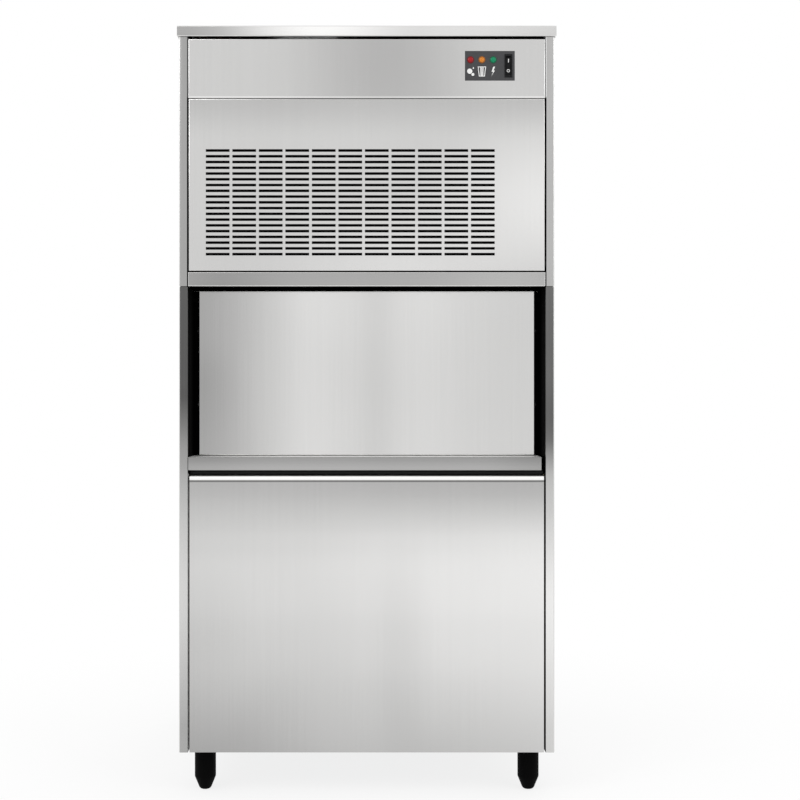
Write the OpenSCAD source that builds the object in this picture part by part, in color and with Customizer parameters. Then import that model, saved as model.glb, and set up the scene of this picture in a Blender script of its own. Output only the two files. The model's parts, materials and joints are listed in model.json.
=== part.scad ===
// Flake ice machine: an ice-making head that stands on an insulated storage bin.
// Millimetres, +Z up, the front faces -Y, origin at the bottom centre of the whole machine.

/* [Cabinet] */
// Width over the side panels
body_w = 560; // [530:1:640]
// Depth over the side panels
body_d = 600; // [590:1:700]
// Height from the floor to the top of the cover
body_h = 1150; // [1130:1:1250]
// Height of the cabinet above the floor
foot_h = 66; // [50:1:90]
// Thickness of the steel sheet
sheet = 1; // [0.8:0.1:1.4]
// Width of the folded front edge of a side panel
column_w = 13; // [10:0.5:18]
// Depth of the folds behind the front faces
return_d = 18; // [14:1:23]
// Width of the folds at the back and along the top of the bin
flange_w = 20; // [15:1:25]
// Dark line between neighbouring front panels
seam = 0.8; // [0.4:0.1:0.9]
// Height of a hem folded on a sheet's edge
hem_h = 3; // [2:0.5:5]

/* [Head] */
// Height of the head above the bin
head_h = 389; // [370:1:440]
// Height of the cover's skirt
cover_skirt = 16; // [10:1:25]
// Clearance between the cover's hem and the side panels
cover_clear = 0.8; // [0.4:0.1:2]
// Dark gap under the cover's skirt
cover_gap = 3.5; // [1:0.5:6]
// Height of the control fascia
fascia_h = 88.5; // [75:0.5:100]
// Height of the rail under the grille panel
rail_h = 21; // [18:0.5:28]
// Depth of the rail's folds
rail_d = 25; // [24:1:32]
// Thickness of the deck that carries the machinery
deck_t = 2; // [1.5:0.5:3]
// Dark line between the fascia and the side panels
fascia_gap = 1; // [0.4:0.1:2]
// Dark line between the grille panel and the side panels
grille_gap = 1.4; // [0.4:0.1:2]
// Dark line under the grille panel
grille_foot_gap = 2; // [0.4:0.1:3]

/* [Grille slots] */
// Length of a slot
slot_w = 35.5; // [25:0.5:36]
// Height of a slot
slot_h = 4; // [2:0.5:6]
// Distance between slot columns
slot_pitch_x = 39.56; // [38:0.01:50]
// Distance between slot rows
slot_pitch_z = 8.59; // [7:0.01:12]
// Plain margin left of the slots
slot_left = 25.5; // [20:0.5:60]
// Least plain margin right of the slots
slot_right = 72; // [30:1:90]
// Plain margin under the slots
slot_base = 22.8; // [18:0.1:50]
// Least plain margin above the slots
slot_top = 72; // [30:1:90]

/* [Control plate] */
// Width of the control plate
plate_w = 74; // [68:1:90]
// Height of the control plate
plate_h = 44; // [40:1:55]
// Thickness of the control plate
plate_t = 2; // [1.5:0.5:3]
// Distance from the fascia's right end to the plate's centre
plate_inset = 82.3; // [60:0.1:120]
// Height of the plate's centre above the fascia's middle
plate_rise = 4.3; // [0:0.1:10]
// Radius of an indicator lamp
lamp_r = 5.3; // [4:0.1:6]
// Distance between lamps
lamp_pitch = 16.9; // [13:0.1:18]
// Distance from the plate's left edge to the first lamp
lamp_inset = 8.2; // [8:0.1:12]
// Height of the lamps above the plate's centre
lamp_rise = 9; // [4:0.5:12]
// Width of the rocker switch
switch_w = 11.4; // [10:0.1:13]
// Height of the rocker switch
switch_h = 34.5; // [32:0.5:38]
// Distance from the plate's right edge to the switch's centre
switch_inset = 9.3; // [8:0.1:11]
// Swing of the rocker from off to on, in degrees
rocker_swing = 14; // [8:1:18]

/* [Door] */
// Height of the door bay between the sill and the head
bay_h = 254; // [220:1:270]
// Gap between the door and the bay's sides
door_side_gap = 10.5; // [8:0.5:14]
// Gap above the door
door_top_gap = 2; // [1:0.5:4]
// Gap under the door
door_foot_gap = 1; // [0.8:0.1:3]
// How far the door sits behind the front
door_setback = 48; // [40:1:60]
// Thickness of the door
door_t = 30; // [25:1:36]
// Pivot distance below the door's top
pivot_drop = 12; // [10:0.5:14]
// Pivot distance behind the door's face
pivot_back = 16; // [13:0.5:18]
// Radius of a hinge pin
pin_r = 4; // [3:0.5:5]
// Clearance round the door's top edge as it swings
swing_clear = 1.5; // [1:0.1:4]

/* [Bin] */
// Height of the sill's front
sill_h = 20; // [14:1:30]
// Gap at the sill's right end
sill_end_gap = 6; // [0.3:0.1:8]
// Dark slot between the sill and the lower panel
slot_gap = 7; // [4:0.5:12]
// Gap beside the lower panel
panel_gap = 2.5; // [0.5:0.1:4]
// Radius of the lower panel's rolled top edge
roll_r = 6.5; // [4:0.5:10]
// Depth of the lower panel's top fold
panel_fold = 30; // [24:1:40]
// Thickness of the foam in the bin's walls
foam_t = 35; // [25:1:45]
// Wall of the bin liner
liner_t = 3; // [2:0.5:5]
// Thickness of the throat frame behind the door
frame_t = 6; // [4:0.5:10]
// Width of the throat opening's side margin
throat_side = 42; // [38:1:70]
// Height of the throat's lip above the sill
throat_lip = 13; // [12:0.5:30]
// Width of the door gasket
gasket_w = 8; // [5:0.5:9]
// Inner radius of the drain pipe
drain_bore = 7; // [5:0.5:8]
// Outer radius of the drain pipe
drain_r = 10; // [9:0.5:12]
// Drain position left of the middle
drain_x = 150; // [60:1:180]

/* [Feet] */
// Radius of a foot
foot_r = 16; // [12:0.5:20]
// Radius of the flat under a foot
sole_r = 4; // [3:0.5:6]
// Radius of a foot's rounded tip
tip_r = 6; // [4:0.5:8]
// Height of a foot's taper
taper_h = 19.5; // [14:0.5:26]
// Radius of a foot's stud
stud_r = 6; // [4:0.5:8]
// Length of the stud inside the cabinet
stud_l = 22; // [16:1:28]
// Foot's distance from the cabinet's side
foot_side = 34; // [24:1:60]
// Foot's distance from the cabinet's front and back
foot_end = 45; // [40:1:80]

/* [Refrigeration] */
// Width of the condenser between its end plates
cond_w = 330; // [280:1:340]
// Distance from the front to the condenser
cond_front = 42; // [30:1:50]
// Depth of the condenser
cond_d = 44; // [40:1:50]
// Tubes in each of the condenser's two rows
cond_rows = 7; // [5:2:9]
// Distance between condenser tubes
tube_pitch = 25; // [22:0.5:26]
// Radius of a condenser tube
tube_r = 4.5; // [3.5:0.1:5.5]
// Distance between condenser fins
fin_pitch = 7.5; // [5:0.1:12]
// Thickness of a fin
fin_t = 0.6; // [0.4:0.1:1]
// Height of the condenser above the deck
cond_foot = 12; // [8:1:20]
// Radius of the fan
fan_r = 82; // [70:1:86]
// Blades of the fan
fan_blades_n = 5; // [3:1:7]
// Depth of the fan
fan_d = 26; // [18:1:30]
// Radius of the fan motor
fan_motor_r = 34; // [28:1:40]
// Length of the fan motor
fan_motor_l = 58; // [45:1:70]
// Radius of the compressor's shell
comp_r = 82; // [70:1:86]
// Height of the compressor's shell
comp_h = 180; // [160:1:200]
// Width of the compressor's base plate
comp_base_w = 190; // [180:1:196]
// Height of a compressor grommet
grommet_h = 16; // [10:1:20]
// Distance from the front to the compressor and the freezing cylinder
machine_d = 330; // [320:1:340]

/* [Ice making] */
// Bore radius of the freezing cylinder
cyl_r = 45; // [40:0.5:48]
// Wall of the freezing cylinder
cyl_wall = 4; // [3:0.5:5]
// Height of the freezing cylinder
cyl_h = 180; // [160:1:190]
// Thickness of the cylinder's insulation
cyl_foam = 24; // [16:1:28]
// Radius of the auger's shaft
auger_r = 14; // [10:0.5:18]
// Pitch of the auger's flight
flight_pitch = 42; // [30:1:60]
// Thickness of the auger's flight
flight_t = 5; // [3:0.5:8]
// Gap between the flight and the cylinder's bore
flight_gap = 0.6; // [0.3:0.1:1.5]
// Height of the gear motor's case
gear_h = 85; // [70:1:95]
// Half width of the gear motor's case
gear_half = 60; // [56:1:66]
// Height of the ice outlet head
outlet_h = 52; // [48:1:60]
// Length of the outlet's spout
spout_l = 40; // [34:1:50]
// Outer width of the ice chute
chute_w = 104; // [96:1:110]
// Outer depth of the ice chute
chute_d = 110; // [100:1:120]
// Wall of the ice chute
chute_t = 3; // [2:0.5:4]
// Length of the chute below the deck
chute_drop = 16; // [14:1:18]
// Length of the bin-full flap
flap_h = 60; // [40:1:80]

/* [Water] */
// Width of the water tank
tank_w = 155; // [145:1:160]
// Depth of the water tank
tank_d = 128; // [124:1:140]
// Height of the water tank
tank_h = 110; // [100:1:120]
// Wall of the water tank
tank_t = 3; // [2:0.5:4]
// Radius of the water inlet's thread
inlet_r = 13.2; // [10:0.1:14]
// Reach of the rear fittings behind the cabinet
rear_reach = 24; // [20:1:40]
// Length of the float's arm
float_l = 58; // [50:1:60]
// Rest angle of the float's arm below level, in degrees
float_droop = 22; // [15:1:25]

/* [Fits] */
// Gap between pieces that only lie close
fit = 0.3; // [0.2:0.05:0.4]
// Radial clearance of a running shaft
run_fit = 0.05; // [0.02:0.01:0.1]

/* [Hidden] */
$fn = 64;
eps = 1;
steel = "#c4c4c2";
dark_steel = "#8f8f8d";
black = "#1c1c1e";
white = "#e6e6e2";
copper = "#b87048";
foam = "#d9cfae";

half_w = body_w / 2;
inner_half = half_w - column_w;
wall_half = half_w - sheet;
cover_over = 2 * sheet + cover_clear;
y_front = -(body_d + rear_reach - cover_over) / 2;
y_back = y_front + body_d;
function yf(d) = y_front + d;
back_in = y_back - 2 * sheet;

// Heights from the top down
seam_z = body_h - head_h;
bin_top = seam_z - sheet;
cover_z0 = body_h - cover_skirt;
cover_under = body_h - sheet;
fascia_z1 = cover_z0 - cover_gap;
fascia_z0 = fascia_z1 - fascia_h;
rail_z0 = seam_z + seam;
rail_z1 = rail_z0 + rail_h;
grille_z0 = rail_z1 + grille_foot_gap;
grille_z1 = fascia_z0 - seam;
deck_z1 = rail_z1;
deck_z0 = deck_z1 - deck_t;
sill_z1 = seam_z - bay_h;
sill_z0 = sill_z1 - sill_h;
panel_z1 = sill_z0 - slot_gap;
panel_under = panel_z1 - sheet;

// Front panels
fascia_half = inner_half - fascia_gap;
rail_half = inner_half - fit;
grille_half = inner_half - grille_gap;
panel_half = inner_half - panel_gap;
slot_room_x = 2 * grille_half - slot_left - slot_right;
slot_room_z = grille_z1 - grille_z0 - slot_base - slot_top;
slot_cols = floor((slot_room_x - slot_w) / slot_pitch_x) + 1;
slot_rows = floor((slot_room_z - slot_h) / slot_pitch_z) + 1;
slot_x0 = slot_left - grille_half;
slot_z0 = grille_z0 + slot_base;
block_w = (slot_cols - 1) * slot_pitch_x + slot_w;

// Control plate, lamps and switch
plate_x = fascia_half - plate_inset;
plate_z = (fascia_z0 + fascia_z1) / 2 + plate_rise;
plate_lip = 3;
lamp_x = plate_x - plate_w / 2 + lamp_inset;
lamp_z = plate_z + lamp_rise;
lamp_back = 9;
switch_x = plate_x + plate_w / 2 - switch_inset;
bezel_t = 1;
switch_case_w = switch_w - 0.8;
switch_case_h = switch_h - 3.5;
switch_case_d = 18;
rocker_w = switch_w - 3.9;
rocker_r = switch_h / 2 - 3.75;
rocker_y = y_front + 4.5;
rocker_face = 3.6;
rocker_pin_r = 1.2;
window_d = 13;

// Door bay
door_half = inner_half - door_side_gap;
door_z0 = sill_z1 + door_foot_gap;
door_z1 = seam_z - door_top_gap;
door_y0 = yf(door_setback);
door_y1 = door_y0 + door_t;
pivot_y = door_y0 + pivot_back;
pivot_z = door_z1 - pivot_drop;
swing_r = norm([door_t - pivot_back, pivot_drop]);
throat_y = pivot_y + swing_r + swing_clear;
throat_half = inner_half - throat_side;
throat_z0 = sill_z1 + throat_lip;
throat_z1 = pivot_z - swing_r - gasket_w - eps;
jamb_x = inner_half - 0.5;
jamb_t = 3;
jamb_y0 = yf(return_d) + fit;
jamb_boss_r = pin_r + 4.5;
jamb_bore_l = 7;

// Bin
pan_t = 1.5;
pan_lip = 25;
liner_y0 = throat_y + frame_t;
liner_y1 = back_in - foam_t;
liner_half = wall_half - foam_t;
liner_z0 = foot_h + pan_t + foam_t;
drain_y = liner_y1 - 40;
drain_z = foot_h + pan_t + foam_t / 2;
drain_leg_r = drain_r + 2.5;
foot_x = half_w - foot_side;
foot_places = [[-foot_x, yf(foot_end)], [foot_x, yf(foot_end)],
               [-foot_x, y_back - foot_end], [foot_x, y_back - foot_end]];
boss_r = stud_r + 8;
boss_h = 14;

// Refrigeration
cond_x = slot_x0 + block_w / 2;
cond_h = cond_rows * tube_pitch;
cond_y0 = yf(cond_front);
cond_y1 = cond_y0 + cond_d;
cond_z0 = deck_z1 + cond_foot;
row_y = [cond_y0 + cond_d / 2 - tube_pitch / 2, cond_y0 + cond_d / 2 + tube_pitch / 2];
tube_z0 = cond_z0 + tube_pitch / 2;
tube_z1 = tube_z0 + (cond_rows - 1) * tube_pitch;
end_plate_t = 1.5;
bend_reach = 6;
fin_n = floor((cond_w - fin_pitch) / fin_pitch);
fan_z = cond_z0 + cond_h / 2;
shroud_d = 34;
shroud_y1 = cond_y1 + shroud_d;
fan_y0 = shroud_y1 - fan_d / 2;
fan_y1 = fan_y0 + fan_d;
fan_hub_r = 24;
fan_shaft_r = 4;
fan_motor_y = fan_y1 + 4;
arm_w = 14;
arm_t = 3;
comp_x = comp_base_w / 2 + 19 - wall_half;
comp_y = yf(machine_d);
comp_base_d = 150;
comp_base_z = deck_z1 + grommet_h;
comp_base_t = 3;
comp_z0 = comp_base_z + comp_base_t;
comp_z1 = comp_z0 + comp_h;
dome_r = 1.36 * comp_r;
comp_bolts = [for (sx = [-1, 1], sy = [-1, 1])
    [comp_x + sx * (comp_base_w / 2 - 14), comp_y + sy * (comp_base_d / 2 - 14)]];
stub_r = 5;
stub_up = 12;
stub_off = 34;
stub_z = comp_z1 + stub_up;
discharge_r = 4;
suction_r = 5;
liquid_r = 3;
hose_r = 7;
pipe_bend = 16;
drier_r = 13;
drier_l = 100;
drier_y = comp_y - comp_r - 34;
drier_z0 = deck_z1 + 70;
drier_clear = 3.5;
drier_x = drier_r + drier_clear - wall_half;
pipe_x = drier_x + drier_r + discharge_r;
cond_tail_x = pipe_x + pipe_bend + 6;

// Ice making
chute_x = comp_x + comp_base_w / 2 + 18 + chute_w / 2;
chute_y = yf(machine_d);
outlet_r = cyl_r + cyl_wall + 9;
evap_x = chute_x + chute_w / 2 + spout_l + outlet_r - 4;
evap_y = yf(machine_d);
cyl_out = cyl_r + cyl_wall;
cyl_z0 = deck_z1 + gear_h;
cyl_z1 = cyl_z0 + cyl_h;
cyl_flange_t = 8;
foam_r = cyl_out + cyl_foam;
outlet_z1 = cyl_z1 + outlet_h;
outlet_roof = 12;
spout_half = 30;
spout_z0 = cyl_z1 + 6;
spout_z1 = outlet_z1 - outlet_roof - 2;
spout_t = 3;
auger_foot = 34;
auger_neck_r = 10;
flight_z0 = cyl_z0 + cyl_flange_t + 2;
flight_z1 = cyl_z1 - 6;
flight_turns = (flight_z1 - flight_z0 - flight_t) / flight_pitch;
flight_steps = 26;
weld_gap = 0.02;
gear_motor_r = 36;
gear_motor_l = 105;
chute_z0 = deck_z0 - chute_drop;
chute_z1 = outlet_z1 + 4;
flap_half = 30;
flap_pin_r = 2;
flap_t = 1.5;
flap_y = chute_y - chute_d / 2 - 7;
flap_z = chute_z0 + 6;
lug_t = 4;

// Water
tank_x1 = wall_half - 14;
tank_x0 = tank_x1 - tank_w;
tank_y0 = back_in - tank_d;
tank_z0 = cyl_z0 + 52;
tank_z1 = tank_z0 + tank_h;
hose_x = evap_x + 4;
hose_y = tank_y0 + 46;
hose_z = cyl_z0 + 18;
inlet_x = tank_x1 - 35;
inlet_z = tank_z1 - 25;
shank_r = 9;
inlet_flange_r = inlet_r + 5;
inlet_nut_t = 8;
valve_y1 = back_in - tank_t - inlet_nut_t;
valve_l = 24;
valve_y0 = valve_y1 - valve_l;
valve_half = 11;
float_pin_r = 1.5;
float_y = valve_y0 - 6;
float_z = inlet_z - 12;
float_r = 15;
float_half = 26;
gland_x = comp_x;
gland_rise = 45;
gland_z = deck_z1 + gland_rise;
gland_r = 10;
gland_bore = 5;
ebox_w = 140;
ebox_d = 80;
ebox_front = 40;
ebox_y = [yf(ebox_front), yf(ebox_front + ebox_d)];
ebox_z = [fascia_z0 - 2, fascia_z1];

// Shared shapes

// A block between low and high corners, given axis by axis
module block(x, y, z) {
    translate([x[0], y[0], z[0]])
        cube([x[1] - x[0], y[1] - y[0], z[1] - z[0]]);
}

// A rectangle between low and high values
module rect(a, b) {
    translate([a[0], b[0]])
        square([a[1] - a[0], b[1] - b[0]]);
}

// An outline in X and Z, made solid from y0 to y1
module facing(y0, y1) {
    translate([0, y1, 0])
        rotate([90, 0, 0])
            linear_extrude(y1 - y0)
                children();
}

// An outline in Y and Z, made solid from x0 to x1
module along_x(x0, x1) {
    translate([x0, 0, 0])
        rotate([90, 0, 90])
            linear_extrude(x1 - x0)
                children();
}

// A round bar along X, from x0 to x1
module bar_x(x0, x1, y, z, r) {
    translate([x0, y, z])
        rotate([0, 90, 0])
            cylinder(r = r, h = x1 - x0);
}

// A round bar along Y, from y0 to y1
module bar_y(x, y0, y1, z, r) {
    translate([x, y1, z])
        rotate([90, 0, 0])
            cylinder(r = r, h = y1 - y0);
}

// A round bar along Z, from z0 to z1
module bar_z(x, y, z0, z1, r) {
    translate([x, y, z0])
        cylinder(r = r, h = z1 - z0);
}

module both_sides() {
    children();
    mirror([1, 0, 0])
        children();
}

// A folded pan: a face at y0 with four folds behind it, and children cut from the face
module pan(half, y0, depth, z) {
    facing(y0, y0 + sheet)
        difference() {
            rect([-half, half], z);
            children();
        }
    facing(y0 + sheet, y0 + depth)
        difference() {
            rect([-half, half], z);
            rect([sheet - half, half - sheet], [z[0] + sheet, z[1] - sheet]);
        }
}

function unit(v) = v / norm(v);

// A run of points with each corner rounded at radius r in n steps
function rounded(p, r, n) = [
    p[0],
    for (i = [1 : len(p) - 2])
        let (a = unit(p[i - 1] - p[i]), b = unit(p[i + 1] - p[i]),
             half = acos(a * b) / 2, turn = 180 - 2 * half,
             centre = p[i] + unit(a + b) * r / sin(half),
             u = p[i] + a * r / tan(half) - centre, v = p[i] + b * r / tan(half) - centre)
            for (k = [0 : n])
                centre + (sin(turn * (1 - k / n)) * u + sin(turn * k / n) * v) / sin(turn),
    p[len(p) - 1]];

function tangents(p) = [
    for (i = [0 : len(p) - 1])
        unit(p[min(i + 1, len(p) - 1)] - p[max(i - 1, 0)])];

// Normals carried along the run without twisting
function normals(t, n, i = 0) =
    i == len(t) ? [] :
    let (here = unit(n - (n * t[i]) * t[i]))
        concat([here], normals(t, here, i + 1));

// A closed skin over rings that have the same number of points
module skin(rings) {
    n = len(rings[0]);
    last = len(rings) - 1;
    points = [for (ring = rings) for (p = ring) p];
    walls = [for (i = [0 : last - 1]) for (j = [0 : n - 1])
        let (a = i * n + j, b = i * n + (j + 1) % n, c = a + n, d = b + n)
            for (face = [[a, c, d], [a, d, b]])
                face];
    start = [for (j = [0 : n - 1]) j];
    end = [for (j = [n - 1 : -1 : 0]) last * n + j];
    polyhedron(points, concat([start, end], walls));
}

// A bent pipe through points, with rounded corners
module pipe(points, r, side = [0.31, 0.53, 0.79], sides = 10) {
    path = rounded(points, pipe_bend, 4);
    t = tangents(path);
    n = normals(t, side);
    skin([for (i = [0 : len(path) - 1])
        [for (j = [0 : sides - 1])
            let (angle = 360 * j / sides)
                path[i] + r * (cos(angle) * n[i] + sin(angle) * cross(t[i], n[i]))]]);
}

// Head: sheet metal

module top_cover() {
    outer_half = half_w + cover_over;
    in_half = outer_half - sheet;
    y = [y_front - cover_over, y_back + cover_over];
    in_y = [y[0] + sheet, y[1] - sheet];
    color(steel) {
        difference() {
            block([-outer_half, outer_half], y, [cover_z0, body_h]);
            block([-in_half, in_half], in_y, [cover_z0 - eps, cover_under]);
        }
        difference() {
            block([-in_half, in_half], in_y, [cover_z0, cover_z0 + hem_h]);
            block([sheet - in_half, in_half - sheet], [in_y[0] + sheet, in_y[1] - sheet],
                  [cover_z0 - eps, cover_z0 + hem_h + eps]);
        }
    }
}

// Plan of the right-hand side panel, with its front column and its rear fold
module side_profile() {
    translate([wall_half, y_front])
        square([sheet, body_d]);
    translate([inner_half, y_front])
        square([column_w, sheet]);
    translate([inner_half, y_front])
        square([sheet, return_d]);
    translate([half_w - flange_w, y_back - sheet])
        square([flange_w, sheet]);
}

module side_panel(z0, z1) {
    translate([0, 0, z0])
        linear_extrude(z1 - z0)
            side_profile();
}

module head_right_panel() {
    color(steel)
        side_panel(seam_z + seam, cover_under);
}

module head_left_panel() {
    color(steel)
        mirror([1, 0, 0])
            side_panel(seam_z + seam, cover_under);
}

louvre_w = 150;
louvre_h = 6;
louvre_pitch = 17;
louvre_n = 9;
louvre_x = 95;
louvre_reach = 8;
louvre_drop = 5;
louvre_lap = 2;

// A sloping hood over one slot, closed at its ends and open below
module louvre_hood(z) {
    y0 = back_in + sheet / 2;
    y1 = back_in + louvre_reach;
    foot_z = z - louvre_drop;
    in_half = louvre_w / 2 + louvre_lap;
    out_half = in_half + sheet;
    difference() {
        along_x(-louvre_x - out_half, -louvre_x + out_half)
            polygon([[y0, z + 2 * sheet], [y1, foot_z + sheet], [y1, foot_z], [y0, foot_z]]);
        along_x(-louvre_x - in_half, -louvre_x + in_half)
            polygon([[y0 - eps, foot_z - eps], [y0 - eps, z], [back_in + sheet, z],
                     [y1 - sheet, foot_z + sheet / 2], [y1 - sheet, foot_z - eps]]);
    }
}

module head_back_panel() {
    louvre_top = cover_z0 - 30;
    color(steel) {
        facing(back_in, back_in + sheet)
            difference() {
                rect([-wall_half, wall_half], [seam_z + seam, cover_under]);
                for (i = [0 : louvre_n - 1])
                    translate([-louvre_x - louvre_w / 2, louvre_top - i * louvre_pitch - louvre_h])
                        square([louvre_w, louvre_h]);
                translate([inlet_x, inlet_z])
                    circle(r = shank_r + fit);
                translate([gland_x, gland_z])
                    circle(r = gland_r + fit);
            }
        for (i = [0 : louvre_n - 1])
            louvre_hood(louvre_top - i * louvre_pitch);
    }
}

module head_deck() {
    skirt_y = [throat_y, back_in];
    color(dark_steel)
        difference() {
            union() {
                block([-wall_half, wall_half], [yf(rail_d), back_in], [deck_z0, deck_z1]);
                block([-wall_half, wall_half], [throat_y, throat_y + deck_t], [seam_z, deck_z1]);
                both_sides()
                    block([wall_half - deck_t, wall_half], skirt_y, [seam_z, deck_z1]);
            }
            block([chute_x - chute_w / 2 - fit, chute_x + chute_w / 2 + fit],
                  [chute_y - chute_d / 2 - fit, chute_y + chute_d / 2 + fit],
                  [deck_z0 - eps, deck_z1 + eps]);
        }
}

module front_rail() {
    color(dark_steel)
        along_x(-rail_half, rail_half) {
            rect([y_front, yf(sheet)], [rail_z0, rail_z1]);
            rect([y_front, yf(rail_d)], [rail_z1 - sheet, rail_z1]);
            rect([y_front, yf(rail_d - 5)], [rail_z0, rail_z0 + sheet]);
        }
}

module control_fascia() {
    color(steel) {
        pan(fascia_half, y_front, return_d, [fascia_z0, fascia_z1])
            plate_outline(fit / 2);
        block([-fascia_half, fascia_half], [y_front - sheet, y_front],
              [fascia_z0, fascia_z0 + hem_h]);
    }
}

module plate_outline(grow) {
    rect([plate_x - plate_w / 2 - grow, plate_x + plate_w / 2 + grow],
         [plate_z - plate_h / 2 - grow, plate_z + plate_h / 2 + grow]);
}

module control_plate_holes() {
    for (i = [0 : 2])
        translate([lamp_x + i * lamp_pitch, lamp_z])
            circle(r = lamp_r - 0.5);
    translate([switch_x, plate_z])
        square([switch_case_w + fit, switch_case_h + fit], center = true);
}

module control_plate() {
    color("#3a3a3c") {
        facing(y_front, yf(sheet))
            difference() {
                plate_outline(0);
                control_plate_holes();
            }
        facing(yf(sheet), yf(sheet) + plate_t)
            difference() {
                plate_outline(plate_lip);
                control_plate_holes();
            }
    }
}

// A domed lens seated on the plate, with its lamp holder behind
module lamp(i, tint) {
    cap_r = lamp_r + 3.4;
    cap_h = 1.6;
    color(tint)
        translate([lamp_x + i * lamp_pitch, y_front, lamp_z])
            rotate([90, 0, 0]) {
                intersection() {
                    cylinder(r = lamp_r, h = cap_h + eps);
                    translate([0, 0, cap_h - cap_r])
                        sphere(r = cap_r);
                }
                translate([0, 0, -lamp_back])
                    cylinder(r = lamp_r - 0.5 - fit / 2, h = lamp_back);
            }
}

module red_lamp() {
    lamp(0, "#c8201c");
}

module amber_lamp() {
    lamp(1, "#d8731c");
}

module green_lamp() {
    lamp(2, "#1f8f4e");
}

module switch_housing() {
    color(black)
        difference() {
            union() {
                facing(y_front - bezel_t, y_front)
                    translate([switch_x, plate_z])
                        square([switch_w, switch_h], center = true);
                facing(y_front, yf(switch_case_d))
                    translate([switch_x, plate_z])
                        square([switch_case_w, switch_case_h], center = true);
                for (dx = [-2.5, 2.5])
                    block([switch_x + dx - 0.4, switch_x + dx + 0.4],
                          [yf(switch_case_d), yf(switch_case_d + 7)], [plate_z - 3, plate_z + 3]);
            }
            facing(y_front - bezel_t - eps, yf(window_d))
                translate([switch_x, plate_z])
                    square([rocker_w + fit, 2 * (rocker_r + fit)], center = true);
            bar_x(switch_x - switch_case_w / 2 + 0.3, switch_x + switch_case_w / 2 - 0.3,
                  rocker_y, plate_z, rocker_pin_r + run_fit);
        }
}

// The rocker is modelled level, then tipped so that its lower half is pressed in
module switch_rocker() {
    rise = rocker_r * tan(rocker_swing / 2);
    color("#242426")
        translate([switch_x, rocker_y, plate_z])
            rotate([rocker_swing / 2, 0, 0]) {
                along_x(-rocker_w / 2, rocker_w / 2)
                    intersection() {
                        circle(r = rocker_r);
                        polygon([[-rocker_face, 0], [-rocker_face - rise, rocker_r],
                                 [4, rocker_r], [4, -rocker_r], [-rocker_face - rise, -rocker_r]]);
                    }
                bar_x(-switch_case_w / 2 + 0.5, switch_case_w / 2 - 0.5, 0, 0, rocker_pin_r);
            }
}

module grille_panel() {
    color(steel)
        pan(grille_half, y_front, return_d, [grille_z0, grille_z1])
            for (i = [0 : slot_cols - 1], j = [0 : slot_rows - 1])
                translate([slot_x0 + i * slot_pitch_x, slot_z0 + j * slot_pitch_z])
                    square([slot_w, slot_h]);
}

module electrical_box() {
    lid_t = 2;
    color("#b9bcbc") {
        difference() {
            block([wall_half - ebox_w, wall_half], ebox_y, ebox_z);
            block([wall_half - ebox_w - eps, wall_half - sheet], [ebox_y[0] + sheet, ebox_y[1] - sheet],
                  [ebox_z[0] + sheet, ebox_z[1] - sheet]);
        }
        block([wall_half - ebox_w - lid_t, wall_half - ebox_w],
              [ebox_y[0] - 3, ebox_y[1] + 3], [ebox_z[0] - 3, ebox_z[1]]);
        for (k = [1 : 3])
            bar_z(wall_half - ebox_w / 2, ebox_y[0] + k * ebox_d / 4, ebox_z[0] - 6, ebox_z[0], 7);
    }
}

// Head: refrigeration

module fin_outline(z0) {
    difference() {
        rect([cond_y0, cond_y1], [z0, cond_z0 + cond_h]);
        for (y = row_y, i = [0 : cond_rows - 1])
            translate([y, tube_z0 + i * tube_pitch])
                circle(r = tube_r + 0.15);
    }
}

// The finned core between two end plates that stand on the deck
module condenser_fins() {
    color("#c9cdd0") {
        for (i = [1 : fin_n])
            let (x = cond_x - fin_pitch * (fin_n + 1) / 2 + i * fin_pitch)
                along_x(x - fin_t / 2, x + fin_t / 2)
                    fin_outline(cond_z0);
        for (side = [-1, 1])
            let (x = cond_x + side * cond_w / 2)
                along_x(x - end_plate_t / 2, x + end_plate_t / 2)
                    fin_outline(deck_z1);
    }
}

// One serpentine: up the front row, across, and down the rear row
module condenser_tubes() {
    x0 = cond_x - cond_w / 2 - bend_reach;
    x1 = cond_x + cond_w / 2 + bend_reach;
    bend_r = tube_pitch / 2;
    color(copper) {
        for (y = row_y, i = [0 : cond_rows - 1])
            bar_x(i == 0 ? cond_tail_x : x0, x1, y, tube_z0 + i * tube_pitch, tube_r);
        for (y = row_y, i = [0 : cond_rows - 2])
            translate([i % 2 == 0 ? x1 : x0, y, tube_z0 + i * tube_pitch + bend_r])
                rotate([90, i % 2 == 0 ? 0 : 180, 0])
                    rotate([0, 0, -90])
                        rotate_extrude(angle = 180)
                            translate([bend_r, 0])
                                circle(r = tube_r);
        translate([cond_rows % 2 == 1 ? x1 : x0, (row_y[0] + row_y[1]) / 2, tube_z1])
            rotate([0, 0, cond_rows % 2 == 1 ? -90 : 90])
                rotate_extrude(angle = 180)
                    translate([bend_r, 0])
                        circle(r = tube_r);
    }
}

// The duct behind the condenser, with a round collar for the fan
module fan_shroud() {
    half = cond_w / 2;
    z = [cond_z0, cond_z0 + cond_h];
    x = [cond_x - half, cond_x + half];
    color("#9aa0a3")
        difference() {
            union() {
                difference() {
                    block(x, [cond_y1, shroud_y1], z);
                    block([x[0] + sheet, x[1] - sheet], [cond_y1 - eps, shroud_y1 - sheet],
                          [z[0] + sheet, z[1] - sheet]);
                }
                bar_y(cond_x, shroud_y1 - fan_d / 2, shroud_y1 + fan_d / 4, fan_z, fan_r + 4);
            }
            bar_y(cond_x, cond_y1 - eps, shroud_y1 + fan_d, fan_z, fan_r + 2.5);
        }
}

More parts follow.
